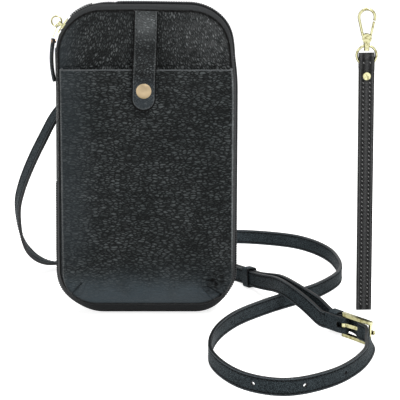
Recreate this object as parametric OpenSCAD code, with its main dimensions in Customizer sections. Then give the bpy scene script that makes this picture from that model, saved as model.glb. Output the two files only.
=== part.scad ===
// Phone pouch of pebbled leather: two half shells joined by a spine and a zip,
// a slip pocket with a snap tab, a buckled crossbody strap and a wristlet.

/* [Pouch] */
// Width of the closed pouch across its zip
pouch_w = 111; // [104:1:124]
// Height of the closed pouch
pouch_h = 193.5; // [186:0.5:210]
// Depth over the leather of the two panels
pouch_d = 19; // [18:0.5:24]
// Radius of the two top corners
top_r = 33.5; // [32:0.5:42]
// Radius of the two bottom corners
bottom_r = 26; // [22:1:30]
// Thickness of the panel leather
panel_t = 1.6; // [1.2:0.1:2]
// Thickness of the lining with its stiffener
lining_t = 0.8; // [0.6:0.1:1]
// Inset of the panel seam at the sides
seam_side = 2.7; // [2.2:0.1:3.4]
// Inset of the panel seam at the top
seam_top = 4.6; // [3.8:0.1:5.4]
// Inset of the panel seam at the bottom
seam_bottom = 7.9; // [7:0.1:9]
// Depth of the flat stretch that the pouch stands on
foot_d = 7.2; // [6:0.2:9]
// Height of the lower end of the spine
spine_bottom = 85; // [75:1:95]
// Distance from the top of the pouch to the upper end of the spine
spine_down = 27.5; // [26:0.5:33]

/* [Zip] */
// Thickness of the zip tape
tape_t = 1; // [0.8:0.1:1.2]
// Height of the teeth, measured inwards from the rim
teeth_h = 1.8; // [1.6:0.1:2]
// Width of one row of teeth
teeth_w = 1.4; // [1.2:0.1:1.6]
// Length of the slider along the zip
slider_l = 9.5; // [8:0.5:11]
// Width of the slider
slider_w = 6; // [5.6:0.1:6.2]
// Outer diameter of the pull ring
pull_ring_od = 7; // [6.4:0.1:7.6]
// Length of the leather pull
pull_l = 26; // [20:1:32]
// Width of the leather pull
pull_w = 4.4; // [4:0.1:4.6]
// Thickness of the leather pull
pull_t = 1.6; // [1.2:0.1:1.7]

/* [Pocket] */
// Height of the pocket's mouth above the ground
pocket_top = 155; // [148:1:158]
// Clear depth of the pocket
pocket_d = 4.8; // [4.6:0.1:6]
// Thickness of the pocket leather
pocket_t = 1.2; // [1:0.1:1.4]
// Inset of the pocket's front face from its seam
pocket_in = 1.6; // [1:0.2:4]
// Width of one card slot
card_w = 88; // [87:0.5:92]
// Height of the first card slot above the lining's foot
card_h = 112; // [100:1:120]

/* [Tab] */
// Width of the snap tab
tab_w = 13.5; // [12:0.5:15]
// Thickness of the snap tab
tab_t = 1.4; // [1.2:0.1:1.8]
// Length of the tab below the pocket's mouth
tab_drop = 23.2; // [22:0.2:30]
// Diameter of the snap cap
cap_dia = 9; // [8.5:0.5:11]

/* [Strap] */
// Width of the crossbody strap
strap_w = 10; // [9:0.2:10.2]
// Thickness of the crossbody strap
strap_t = 1.8; // [1.4:0.1:1.9]
// Length of the buckle frame
buckle_l = 22; // [21:0.5:24]
// Radius of the bar that the buckle turns on
heel_r = 0.9; // [0.7:0.05:0.95]
// Width of the fixed keeper and of the loose keeper
keeper_w = 7; // [5.5:0.5:7.5]

/* [Wristlet] */
// Height of the folded wristlet strap
wristlet_h = 163.2; // [140:0.2:180]
// Width of the wristlet strap
wristlet_w = 9.2; // [9:0.1:9.7]
// Thickness of the wristlet leather
wristlet_t = 1.8; // [1.4:0.1:2]
// Outer diameter of the swivel ring
swivel_od = 13.4; // [13.2:0.1:14.5]
// Wire radius of the swivel ring
swivel_wire = 0.8; // [0.7:0.05:0.85]
// Wire radius of the snap hook
hook_wire = 0.85; // [0.75:0.05:0.95]
// Radius of the hook's round top, to the middle of its wire
hook_r = 4.75; // [4.3:0.05:5.5]

/* [Hidden] */

$fn = 64;
// Facets round a soft edge that is blended between two outlines, and round the cap's dome
soft_fn = 32;
dome_fn = 96;
// Clearance between pieces of different bodies
gap = 0.3;
// Overrun of a cut through a face
over = 1;
// Thickness of the thin slices that a blend runs between
film = 0.02;
// How far shapes of one piece run into each other
lap = 0.1;

half_w = pouch_w / 2;
half_d = pouch_d / 2;
// Inner face of a panel and of its lining
panel_y = half_d - panel_t;
lining_y = panel_y - lining_t;

// Half the space between the two rows of teeth
teeth_y = 0.7;
// Inset of the tape beside the teeth
tape_in = 0.4;
// Where the tape begins beside the teeth
tape_y = 1.7;
// Middle station of the tape: its depth and insets as shares of the outer station
tape_mid_shares = [0.76, 0.7, 0.57, 0.46];
// Insets of the station over the edge of the foot: sides and top
foot_side = 1;
foot_top = 1.2;
stations = [
    [tape_y, tape_in, tape_in, 0],
    [foot_d / 2, foot_side, foot_top, 0],
    [panel_y * tape_mid_shares[0], seam_side * tape_mid_shares[1],
        seam_top * tape_mid_shares[2], seam_bottom * tape_mid_shares[3]],
    [panel_y, seam_side, seam_top, seam_bottom]];

spine_top = pouch_h - spine_down;

// Centre of the top left corner, which the slider runs round
arc_x = -half_w + top_r;
arc_z = pouch_h - top_r;
// Angle of the slider on that corner, from the right, and of the notch that clears it
slider_angle = 145;
notch_angle = 133;
side_angle = 180;
stop_angle = 156;
stop_half_angle = 1.2;
// How near the front tape comes to the middle beside the slider
notch_y = 5.2;
// Length of the stop at the lower end of the zip
stop_l = 1.4;

// Slider plates, measured from the rim
plate_gap = 0.4;
outer_plate_t = 0.8;
inner_plate_t = 1;
core_half = 0.4;
core_half_angle = 3;
post_y = 1.2;
post_w = 0.7;
post_half_angle = 1.4;
bar_r = 0.45;
ring_wire = 0.5;
ring_gap = 0.35;
plate_r = top_r + plate_gap + outer_plate_t;
ring_mid_r = pull_ring_od / 2 - ring_wire;
ring_r = plate_r + ring_gap + ring_mid_r + ring_wire;
bar_mid_r = plate_r + ring_gap + 2 * ring_wire + gap + bar_r;
ring_c = [arc_x + ring_r * cos(slider_angle), 0, arc_z + ring_r * sin(slider_angle)];

// Pull: the hoop on the ring and the leather that hangs beside the tape
hoop_r = 1.25;
hoop_wire = 0.35;
hoop_c = ring_c - [0, 0, ring_mid_r];
pull_yaw = -65;
pull_c = hoop_c - [1.7, 4.6, 6.7];
link_end = 1;
link_turn = 35;
at_pull_top = pull_c + [0, 0, link_end];
pull_end_share = 0.34;
pull_rivet_r = 1.1;
pull_rivet_down = 1.7;
pull_head_t = 0.5;

// Pocket
pocket_y = half_d + pocket_d + pocket_t;
hem_h = 4;
hem_t = 0.4;
// Card slots: sheet and rim thickness, and how far each one is shorter
card_sheet = 0.6;
card_rim = 3;
card_step = 16;
card_foot = 20;

// Tab, leaning a little to the left, and its snap
tab_x = 0.35;
tab_lean = 2;
tab_seam = 0.7;
tab_top = pouch_h - seam_top - tab_seam;
tab_end = pocket_top - tab_drop;
cap_down = 11.8;
cap_z = pocket_top - cap_down;
cap_h = 1;
cap_rim = 0.5;
post_r = 1;
post_fit = 0.05;
stud_base_r = 3.8;
stud_base_t = 0.5;
stud_r = 2;
stud_h = 1.4;
socket_r = 4.2;
socket_bore = 2.4;
socket_t = 1.4;
washer_t = 0.5;
tab_in_y = pocket_y + stud_base_t + gap + socket_t;
tab_out_y = tab_in_y + tab_t;
tab_bend_up = 11;
tab_bend_down = 1;
tab_bend_top = pocket_top + tab_bend_up;
tab_bend_bottom = pocket_top - tab_bend_down;
tab_rest_y = half_d + gap;

// Strap rings on the back, each in a sewn tab
ring_x = 42;
ring_down = 35;
tab_ring_z = pouch_h - ring_down;
ring_bar_r = 0.9;
ring_span = 6.4;
ring_tilt = 16.4;
ring_half_w = 6.5;
fold_gap = 0.1;
ply_t = 1;
fold_r = ring_bar_r + fold_gap + ply_t;
ring_tab_w = 10;
ring_tab_h = 13.5;
ring_tab_close = 5.5;
bar_y = half_d + fold_r;
hang_y = bar_y + ring_span * sin(ring_tilt);
hang_z = tab_ring_z - ring_span * cos(ring_tilt);
// The strap ends leave the rings at this place
strap_y = 14;
strap_down = 16.5;
strap_z = tab_ring_z - strap_down;
end_close = 6;
end_rivet_r = 1.2;
end_head_r = 2;
end_head_t = 0.6;
end_rivet_up = 2.2;

// Buckle: its heel bar stands here, and the frame points along this direction
buckle_x = 118.2;
buckle_y = -47;
buckle_yaw = -48.65;
// The frame is as high as the strap with its clearance and the two side bars
side_bar = 2;
frame_h = strap_w + 2 * gap + 2 * side_bar;
buckle_z = frame_h / 2;
frame_deep = 3;
end_bar_r = 1;
heel_fit = 0.2;
end_fold_r = heel_r + heel_fit + strap_t;
end_l = 13;
near_y = -3.4;
far_y = -0.4;
near_bend = 3;
far_bend = 5;
prong_slot_h = 3.2;
prong_slot_back = 3.4;
prong_slot_front = 4;
prong_h = 2.2;
prong_t = 1.6;
prong_boss_r = 1.9;
prong_fit = 0.05;
prong_tip = 1.6;
keeper_t = 1;
keeper_from = -12;
// Where the strap crosses the prong: the slot of its hole
hole_from = 5.4;
hole_to = 13.2;
hole_h = 3;
keeper_far = far_y + 2 * strap_t + 3 * gap;

// Wristlet: where it stands, its lean and its pieces
wristlet_x = 134.9;
wristlet_lean = 1;
wristlet_gap = 0.6;
eye_wall = 1.5;
eye_half = 1.6;
eye_from = 8.9;
eye_to = 1.2;
eye_blend = 2.4;
rivet_down = 13.9;
foot_cut = 0.3;
rivet_r = 2.35;
rivet_head_t = 0.8;
rivet_shaft_r = 1.1;
swivel_down = 1.6;
boss_r = 2;
boss_h = 2.2;
stem_r = 0.93;
stem_fit = 0.07;
button_r = 1.7;
button_h = 1.6;
collar_r = 2;
collar_h = 1.1;
base_r = 2.9;
base_t = 3.6;
fork_half = 0.95;
tongue_half = 0.8;
tongue_r = 1.6;
pin_r = 0.8;
pin_fit = 0.05;
pin_head_r = 1.4;
pin_head_t = 0.5;
hook_leg_lean = 12.6;
hook_leg_x = 2.4;
hook_leg_up = 1.5;
hook_rise = 12.6;
nose_l = 1.1;
gate_gap = 0.6;
gate_wire = 0.72;
// Where the gate's wire leaves its tongue, as shares of the tongue's radius
gate_root = [0.3, 0.6];
swivel_r = swivel_od / 2 - swivel_wire;
swivel_z = wristlet_h - swivel_down;
boss_z = swivel_z + swivel_r - swivel_wire - gap;
collar_z = boss_z + boss_h + gap;
base_up = 1.914;
pin_z = collar_z + collar_h + base_up;
hook_z = pin_z + hook_rise;

// Centreline of the long strap part, and the direction of its width at each point
long_route = [
    [-42, 14, 141.9, -1, 0, 0], [-42, 14, 139, -1, 0, 0], [-48, 15, 131, -0.85, 0.5, 0.2],
    [-57, 16, 122, -0.38, 0.89, 0.23], [-66, 20, 106, -0.4, 0.87, 0.25],
    [-75, 27, 88, -0.4, 0.87, 0.3], [-82, 35, 71, -0.36, 0.85, 0.38],
    [-86, 43, 56, -0.34, 0.85, 0.4], [-86, 58, 31, -0.25, 0.88, 0.35],
    [-83, 67, 19, -0.15, 0.93, 0.2], [-76, 76, 9.5, 0, 0.97, -0.1],
    [-66, 84, 4.5, 0, 0.97, -0.26], [-47, 96, 3, 0, 0.95, -0.3], [-30, 106, 3.6, 0, 0.8, -0.6],
    [-10, 119, 4.8, 0, 0.4, -0.9], [12, 131, 5, 0, 0, -1], [36, 141, 5, 0, 0, -1],
    [59, 146, 5, 0, 0, -1], [96, 136, 5, 0, 0, -1], [110, 124, 5, 0, 0, -1],
    [120, 107, 5, 0, 0, -1], [125, 88, 5, 0, 0, -1], [125, 55, 5, 0, 0, -1],
    [109, 26, 5, 0, 0, -1], [93, 10, 5, 0, 0, -1], [79, -2, 5, 0, 0, -1],
    [53.5, -31, 5, 0, 0, -1], [40, -64, 5, 0, 0, -1], [39, -98, 5, 0, 0, -1],
    [56, -130, 5, 0, 0, -1], [78, -139, 5, 0, 0, -1], [105, -125, 5, 0, 0, -1],
    [125, -96, 5, 0.1, 0, -1], [130.5, -74, 6, 0.5, 0, -0.86], [130.5, -67, 6.8, 0.3, 0, -0.95],
    [129, -62.5, 7.3, 0, 0, -1], [126.2, -58.5, 7.3, 0, 0, -1], [125.7, -51.7, 7.3, 0, 0, -1],
    [123.4, -46.4, 7.3, 0, 0, -1], [120.8, -43.3, 7.3, 0, 0, -1], [116.7, -41, 7.3, 0, 0, -1],
    [112.4, -36.1, 7.3, 0, 0, -1], [109, -31.3, 9, 0, 0, -1], [104.6, -25.8, 11.9, 0, 0, -1],
    [98.5, -20.2, 14.7, 0, 0, -1], [92.3, -12.6, 16.5, 0, 0, -1], [87, -2.5, 16.8, 0, 0, -1],
    [82.4, 11, 14.7, 0, 0, -1], [76.7, 24.3, 11.3, 0, 0, -1], [71.2, 34.6, 8.8, 0, 0, -1],
    [65.7, 45.6, 7.3, 0, 0, -1], [60.2, 56.6, 5.8, 0, 0, -1], [53, 66.5, 5.2, 0, 0, -1],
    [45, 75, 5, 0, 0, -1], [38, 81, 5, 0, 0, -1]];

// Centreline of the short strap part, from its ring to the buckle
short_route = [
    [42, 14, 141.9, -1, 0, 0], [42, 14, 139, -1, 0, 0], [43, 17, 126, -0.9, 0.3, 0],
    [42, 24, 106, -0.6, 0.8, 0.1], [38, 33, 86, -0.2, 0.95, 0.2],
    [33, 43, 66, 0, 0.95, 0.25], [27, 52, 46, 0, 0.95, 0.25],
    [23, 59, 29, 0, 0.97, 0.2], [24, 66, 15, 0, 0.97, 0.1],
    [31, 70, 6.5, 0, 0.9, -0.4], [41, 69, 5.5, 0, 0.4, -0.9],
    [50.5, 63.5, 5, 0, 0, -1], [58, 55.5, 5.5, 0, 0, -1], [63.5, 44.5, 7, 0, 0, -1],
    [69, 33.5, 8.5, 0, 0, -1], [74, 22.5, 10.8, 0, 0, -1], [79.4, 9.5, 13.9, 0, 0, -1],
    [84.3, -4, 15.8, 0, 0, -1], [90, -16, 15.3, 0, 0, -1], [96.3, -25.4, 12.8, 0, 0, -1],
    [101.4, -31.6, 9.6, 0, 0, -1], [105.1, -35.9, 7.3, 0, 0, -1],
    [107.7, -38.85, 7.3, 0, 0, -1]];
// Height that the routes are written for at the rings, and above which they hang
route_top = 142;
hang_from = 17;
// Number of the short route's point in the loose keeper, and the long route's from its tip
keeper_point = 13;
tip_points = 5;

// Spreads a flat outline through a thickness along the depth of the pouch
module slab(y, t) {
    translate([0, y + t, 0]) rotate([90, 0, 0]) linear_extrude(t) children();
}

// Spreads an outline of depth and height along the width
module side_slab(x, w) {
    translate([x, 0, 0]) rotate([90, 0, 90]) linear_extrude(w) children();
}

// Rod with a true round wall between two places
module rod(p, q, r) {
    v = q - p;
    l = norm(v);
    translate(p) rotate([0, acos(v[2] / l), atan2(v[1], v[0])]) cylinder(h = l, r = r);
}

// Outline of the pouch seen from the front, drawn in by its insets
module pouch_outline(side, top, bottom) {
    w = half_w - side;
    z1 = pouch_h - top;
    rt = top_r - (side + top) / 2;
    rb = bottom_r - (side + bottom) / 2;
    translate([-w, bottom + rb]) square([2 * w, z1 - rt - bottom - rb]);
    translate([-w + rt, z1 - rt]) square([2 * (w - rt), rt]);
    translate([-w + rb, bottom]) square([2 * (w - rb), rb]);
    for (s = [-1, 1]) {
        translate([s * (w - rt), z1 - rt]) circle(rt);
        translate([s * (w - rb), bottom + rb]) circle(rb);
    }
}

module station(s, more) {
    slab(s[0] - film, film) pouch_outline(s[1] + more, s[2] + more, s[3] + more, $fn = soft_fn);
}

// Solid between the stations of the tape, drawn in by a wall
module tape_block(more) {
    for (i = [0 : len(stations) - 2]) {
        hull() {
            station(stations[i], more);
            station(stations[i + 1], more);
        }
    }
}

module half_tape() {
    difference() {
        tape_block(0);
        tape_block(tape_t);
    }
}

// Room that the spine takes from the tapes and the teeth
module spine_room(more) {
    translate([-pouch_w, -pouch_d, spine_bottom - more])
        cube([pouch_w, 2 * pouch_d, spine_top - spine_bottom + 2 * more]);
}

// Ring sector round the centre of the top left corner
module arc_piece(r0, r1, y0, y1, a0, a1) {
    translate([arc_x, 0, arc_z]) rotate([90, 0, 0]) rotate([0, 0, a0])
        rotate_extrude(angle = a1 - a0) translate([r0, -y1]) square([r1 - r0, y1 - y0]);
}

module teeth_band() {
    slab(teeth_y, teeth_w) difference() {
        pouch_outline(0, 0, 0);
        pouch_outline(teeth_h, teeth_h, teeth_h);
    }
}

// Front half: the back's shells mirrored
module front_half() {
    mirror([0, 1, 0]) children();
}

module panel() {
    slab(panel_y, panel_t) pouch_outline(seam_side, seam_top, seam_bottom);
}

module back_panel() {
    color("#24262b") panel();
}

module lining() {
    in = tape_t + gap;
    slab(lining_y, lining_t) pouch_outline(seam_side + in, seam_top + in, seam_bottom + in);
}

module back_lining() {
    color("#3a3b40") lining();
}

// The leather wall that the two halves turn on
module spine() {
    color("#222429") intersection() {
        union() {
            half_tape();
            difference() {
                front_half() half_tape();
                translate([-pouch_w, -pouch_d, 0])
                    cube([2 * pouch_w, pouch_d - panel_y + gap, pouch_h]);
            }
            slab(-tape_y, 2 * tape_y) difference() {
                pouch_outline(tape_in, tape_in, 0);
                pouch_outline(tape_in + tape_t, tape_in + tape_t, tape_t);
            }
        }
        spine_room(0);
    }
}

module back_tape() {
    color("#1b1c20") difference() {
        half_tape();
        spine_room(0);
        teeth_room();
    }
}

// The tape's edge is let in where the teeth are sewn on
module teeth_room() {
    slab(0, teeth_y + teeth_w) difference() {
        pouch_outline(-over, -over, -over);
        pouch_outline(teeth_h, teeth_h, teeth_h);
    }
}

module back_teeth() {
    color("#2b2d31") difference() {
        teeth_band();
        spine_room(stop_l);
        arc_piece(top_r - teeth_h - over, top_r + over, 0, teeth_y + teeth_w + over,
            stop_angle - stop_half_angle, side_angle);
    }
}

module zip_stops() {
    color("#c9a55c") {
        arc_piece(top_r - teeth_h, top_r, teeth_y, teeth_y + teeth_w,
            stop_angle - stop_half_angle, stop_angle + stop_half_angle);
        translate([-half_w, teeth_y, spine_bottom - stop_l])
            cube([teeth_h, teeth_w, stop_l]);
    }
}

// Flat pocket for cards, sewn round three sides
module card_slot(i) {
    h = card_h - i * card_step;
    y = lining_y - (i + 1) * 2 * card_sheet;
    color("#34353a") difference() {
        translate([-card_w / 2, y, card_foot]) cube([card_w, 2 * card_sheet, h]);
        translate([-card_w / 2 + card_rim / 2, y + card_sheet, card_foot + card_rim / 2])
            cube([card_w - card_rim, card_sheet + film, h]);
    }
}

module card_slot_1() { card_slot(0); }
module card_slot_2() { card_slot(1); }
module card_slot_3() { card_slot(2); }

// Upper half of the fold of one ply round a ring's bar
module fold_half() {
    difference() {
        circle(fold_r);
        circle(fold_r - ply_t);
        translate([-2 * fold_r, -lap - 2 * fold_r]) square([4 * fold_r, 2 * fold_r]);
    }
}

// Leather tab that is folded round the bar of a strap ring and sewn to the back
module ring_tab(s) {
    top = tab_ring_z + ring_tab_h;
    close = tab_ring_z + ring_tab_close;
    color("#222429") side_slab(s * ring_x - ring_tab_w / 2, ring_tab_w) {
        translate([bar_y, tab_ring_z]) mirror([0, 1]) fold_half();
        polygon([[bar_y - fold_r, tab_ring_z], [bar_y - fold_r + ply_t, tab_ring_z],
            [half_d + ply_t, close - ply_t], [bar_y + fold_r - ply_t, tab_ring_z],
            [bar_y + fold_r, tab_ring_z], [half_d + 2 * ply_t, close],
            [half_d + 2 * ply_t, top], [half_d, top]]);
    }
}

module left_ring_tab() { ring_tab(-1); }
module right_ring_tab() { ring_tab(1); }

// Wire loop with four bars, leaning back from its tab
module strap_ring(s) {
    a = [s * ring_x - ring_half_w, bar_y, tab_ring_z];
    b = [s * ring_x + ring_half_w, bar_y, tab_ring_z];
    c = [s * ring_x + ring_half_w, hang_y, hang_z];
    d = [s * ring_x - ring_half_w, hang_y, hang_z];
    color("#c9a55c") {
        rod(a, b, ring_bar_r);
        rod(b, c, ring_bar_r);
        rod(c, d, ring_bar_r);
        rod(d, a, ring_bar_r);
        for (p = [a, b, c, d]) translate(p) sphere(ring_bar_r + film);
    }
}

module left_strap_ring() { strap_ring(-1); }
module right_strap_ring() { strap_ring(1); }

// Strap end turned round the lower bar of its ring and riveted
module strap_end(s) {
    close = hang_z - end_close;
    color("#25272c") difference() {
        union() {
            side_slab(s * ring_x - strap_w / 2, strap_w) translate([hang_y, hang_z]) fold_half();
            side_slab(s * ring_x - strap_w / 2, strap_w) polygon([
                [hang_y - fold_r, hang_z], [hang_y - fold_r + ply_t, hang_z],
                [strap_y, close + ply_t], [hang_y + fold_r - ply_t, hang_z],
                [hang_y + fold_r, hang_z], [strap_y + strap_t / 2, close],
                [strap_y + strap_t / 2, strap_z], [strap_y - strap_t / 2, strap_z],
                [strap_y - strap_t / 2, close]]);
        }
        translate([s * ring_x, strap_y + pouch_d / 2, strap_z + end_rivet_up]) rotate([90, 0, 0])
            cylinder(h = pouch_d, r = end_rivet_r + post_fit);
    }
}

module left_strap_end() { strap_end(-1); }
module right_strap_end() { strap_end(1); }

module end_rivet(s) {
    l = strap_t + 2 * end_head_t;
    color("#c9a55c") translate([s * ring_x, strap_y, strap_z + end_rivet_up]) rotate([90, 0, 0]) {
        translate([0, 0, -l / 2]) cylinder(h = l, r = end_rivet_r);
        for (m = [0, 1]) mirror([0, 0, m])
            translate([0, 0, strap_t / 2]) cylinder(h = end_head_t, r = end_head_r);
    }
}

module left_end_rivet() { end_rivet(-1); }
module right_end_rivet() { end_rivet(1); }

// Sweep of a flat strap along a route
function unit(v) = v / norm(v);
// Heights above the crossing at the buckle are carried with the strap rings
function carried(z) = z + max(0, z - hang_from) * (strap_z - route_top) / (route_top - hang_from);
function place(p, i) = [p[i][0], p[i][1], carried(p[i][2])];
function along(p, i) = unit(place(p, min(i + 1, len(p) - 1)) - place(p, max(i - 1, 0)));
function across(p, i) =
    let (w = [p[i][3], p[i][4], p[i][5]], t = along(p, i)) unit(w - t * (w * t));
edge_cut = 0.4;
section = let (a = strap_w / 2, b = strap_t / 2, c = edge_cut) [
    [a - c, b], [a, b - c], [a, c - b], [a - c, -b],
    [c - a, -b], [-a, c - b], [-a, b - c], [c - a, b]];
function ring_points(p, i) =
    let (w = across(p, i), n = cross(along(p, i), w))
        [for (q = section) place(p, i) + w * q[0] + n * q[1]];

module ribbon(p) {
    m = len(section);
    rings = len(p);
    points = [for (i = [0 : rings - 1]) each ring_points(p, i)];
    sides = [for (i = [0 : rings - 2], k = [0 : m - 1]) each [
        [i * m + k, i * m + (k + 1) % m, (i + 1) * m + k],
        [i * m + (k + 1) % m, (i + 1) * m + (k + 1) % m, (i + 1) * m + k]]];
    last = (rings - 1) * m;
    caps = [for (k = [1 : m - 2]) each [[0, k + 1, k], [last, last + k, last + k + 1]]];
    polyhedron(points = points, faces = concat(sides, caps));
}

module at_buckle() {
    translate([buckle_x, buckle_y, buckle_z]) rotate([0, 0, buckle_yaw]) children();
}

module strap_long() {
    color("#26282d") difference() {
        ribbon(long_route);
        at_buckle() translate([hole_from, -buckle_l / 2, -hole_h / 2])
            cube([hole_to - hole_from, buckle_l, hole_h]);
    }
}

module strap_short() {
    color("#26282d") ribbon(short_route);
}

// Doubled end that is turned round the buckle's heel bar
module buckle_strap_end() {
    inner = heel_r + heel_fit;
    color("#25272c") at_buckle() difference() {
        translate([0, 0, -strap_w / 2]) {
            linear_extrude(strap_w) difference() {
                circle(end_fold_r);
                circle(inner);
                translate([-lap - end_fold_r, -end_fold_r]) square([end_fold_r, 2 * end_fold_r]);
            }
            linear_extrude(strap_w)
                polygon([[0, -inner], [0, -end_fold_r], [-near_bend, near_y], [-end_l, near_y],
                    [-end_l, near_y + strap_t], [-near_bend, near_y + strap_t]]);
            linear_extrude(strap_w)
                polygon([[0, inner], [0, end_fold_r], [-far_bend, far_y + strap_t],
                    [-end_l, far_y + strap_t], [-end_l, far_y], [-far_bend, far_y]]);
        }
        translate([-prong_slot_back, -end_l, -prong_slot_h / 2])
            cube([prong_slot_back + prong_slot_front, 2 * end_l, prong_slot_h]);
    }
}

module buckle_frame() {
    bar_l = frame_h - side_bar;
    color("#d6b877") at_buckle() {
        translate([0, 0, -bar_l / 2]) cylinder(h = bar_l, r = heel_r);
        translate([buckle_l - frame_deep / 2, 0, -bar_l / 2]) cylinder(h = bar_l, r = end_bar_r);
        for (m = [0, 1]) mirror([0, 0, m]) translate([0, 0, frame_h / 2 - side_bar]) {
            translate([0, -frame_deep / 2, 0]) cube([buckle_l - frame_deep / 2, frame_deep, side_bar]);
            for (u = [0, buckle_l - frame_deep / 2])
                translate([u, 0, 0]) cylinder(h = side_bar, r = frame_deep / 2);
        }
    }
}

// Prong on the heel bar, resting on the far side of the end bar
module buckle_prong() {
    reach = buckle_l - frame_deep / 2;
    rest = end_bar_r + gap + prong_t / 2;
    turn = atan2(rest, reach);
    color("#d6b877") at_buckle() difference() {
        union() {
            translate([0, 0, -prong_h / 2]) cylinder(h = prong_h, r = prong_boss_r);
            rotate([0, 0, turn]) translate([0, -prong_t / 2, -prong_h / 2])
                cube([reach + prong_tip, prong_t, prong_h]);
        }
        translate([0, 0, -prong_h]) cylinder(h = 2 * prong_h, r = heel_r + prong_fit);
    }
}

module fixed_keeper() {
    inner_h = strap_w + 2 * gap;
    wall_y = far_y - fold_gap;
    color("#25272c") at_buckle() difference() {
        translate([keeper_from, wall_y - keeper_t, -inner_h / 2 - keeper_t])
            cube([keeper_w, keeper_far - wall_y + 2 * keeper_t, inner_h + 2 * keeper_t]);
        translate([keeper_from - over, wall_y, -inner_h / 2])
            cube([keeper_w + 2 * over, keeper_far - wall_y, inner_h]);
    }
}

// Loop that slides along both strap layers
module loose_keeper() {
    p = place(short_route, keeper_point);
    v = place(short_route, keeper_point + 1) - place(short_route, keeper_point - 1);
    q = place(long_route, len(long_route) - tip_points) - p;
    yaw = atan2(v[1], v[0]);
    spread = q[1] * cos(yaw) - q[0] * sin(yaw);
    inner_h = strap_w + 2 * gap + q[2];
    color("#25272c") translate(p + [0, 0, q[2] / 2])
        rotate([0, atan2(-v[2], norm([v[0], v[1]])), yaw]) difference() {
            translate([-keeper_w / 2, -strap_t / 2 - gap - keeper_t, -inner_h / 2 - keeper_t])
                cube([keeper_w, spread + strap_t + 2 * (gap + keeper_t), inner_h + 2 * keeper_t]);
            translate([-keeper_w, -strap_t / 2 - gap, -inner_h / 2])
                cube([2 * keeper_w, spread + strap_t + 2 * gap, inner_h]);
        }
}

// Room beside the slider and along the way from it to the spine
module slider_room(y) {
    arc_piece(top_r / 2, 2 * top_r, -y, over, notch_angle, side_angle - film);
}

module front_panel() {
    color("#24262b") front_half() panel();
}

module front_lining() {
    color("#3a3b40") front_half() lining();
}

module front_tape() {
    color("#1b1c20") difference() {
        front_half() difference() {
            half_tape();
            teeth_room();
        }
        spine_room(gap);
        slider_room(notch_y);
    }
}

module front_teeth() {
    color("#2b2d31") difference() {
        front_half() teeth_band();
        spine_room(stop_l);
        slider_room(notch_y);
    }
}

module pocket_block(y, more, top) {
    intersection() {
        hull() {
            slab(half_d, film)
                pouch_outline(seam_side + more, seam_top, seam_bottom + more, $fn = soft_fn);
            slab(y - film, film) pouch_outline(seam_side + pocket_in + more, seam_top,
                seam_bottom + pocket_in + more, $fn = soft_fn);
        }
        translate([-half_w, 0, 0]) cube([pouch_w, 2 * pouch_d, top]);
    }
}

module pocket_panel() {
    color("#26282d") difference() {
        front_half() difference() {
            pocket_block(pocket_y, 0, pocket_top);
            pocket_block(pocket_y - pocket_t, pocket_t, pouch_h);
            translate([-half_w, half_d - over, 0]) cube([pouch_w, over, pouch_h]);
        }
        at_snap() cylinder(h = 2 * pouch_d, r = post_r + post_fit, center = true);
    }
}

module pocket_hem() {
    w = 2 * (half_w - seam_side - pocket_in);
    color("#222429") translate([-w / 2, -pocket_y - hem_t, pocket_top - hem_h])
        cube([w, hem_t, hem_h]);
}

// Frame of the tab, leaning about the middle of its seam
module at_tab() {
    translate([tab_x, 0, tab_top]) rotate([0, tab_lean, 0]) translate([0, 0, -tab_top]) children();
}

// Frame of the snap, with its height towards the front
module at_snap() {
    at_tab() translate([0, 0, cap_z]) rotate([90, 0, 0]) children();
}

module snap_stud() {
    color("#c9a55c") at_snap() {
        translate([0, 0, pocket_y]) cylinder(h = stud_base_t, r = stud_base_r);
        translate([0, 0, pocket_y]) cylinder(h = stud_base_t + stud_h, r = stud_r);
        translate([0, 0, pocket_y - pocket_t - washer_t])
            cylinder(h = pocket_t + washer_t, r = post_r);
    }
}

module stud_washer() {
    color("#c9a55c") at_snap() translate([0, 0, pocket_y - pocket_t - washer_t]) difference() {
        cylinder(h = washer_t, r = stud_base_r);
        translate([0, 0, -over]) cylinder(h = washer_t + 2 * over, r = post_r + post_fit);
    }
}

// Side profile of the tab, from its seam over the pocket's mouth to its round end
module tab_strap() {
    color("#26282d") at_tab() difference() {
        intersection() {
            side_slab(-tab_w / 2, tab_w) polygon([
                [-tab_rest_y, tab_top], [-tab_rest_y, tab_bend_top], [-tab_in_y, tab_bend_bottom],
                [-tab_in_y, tab_end], [-tab_out_y, tab_end], [-tab_out_y, tab_bend_bottom],
                [-tab_rest_y - tab_t, tab_bend_top], [-tab_rest_y - tab_t, tab_top]]);
            slab(-2 * pouch_d, 2 * pouch_d) {
                translate([0, tab_end + tab_w / 2]) circle(tab_w / 2);
                translate([-tab_w / 2, tab_end + tab_w / 2]) square([tab_w, tab_top - tab_end]);
            }
        }
        translate([0, 0, cap_z]) rotate([90, 0, 0])
            cylinder(h = 2 * pouch_d, r = post_r + post_fit);
    }
}

module snap_cap() {
    dome_r = (cap_dia / 2 * cap_dia / 2 + cap_h * cap_h) / (2 * cap_h);
    color("#d6b877") at_snap() {
        translate([0, 0, tab_out_y]) intersection() {
            cylinder(h = cap_h, r = cap_dia / 2);
            translate([0, 0, cap_h - dome_r]) sphere(dome_r, $fn = dome_fn);
        }
        translate([0, 0, tab_in_y]) cylinder(h = tab_t + cap_rim, r = post_r);
    }
}

module snap_socket() {
    color("#c9a55c") at_snap() translate([0, 0, tab_in_y - socket_t]) difference() {
        cylinder(h = socket_t, r = socket_r);
        translate([0, 0, -over]) cylinder(h = socket_t + 2 * over, r = socket_bore);
    }
}

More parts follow.
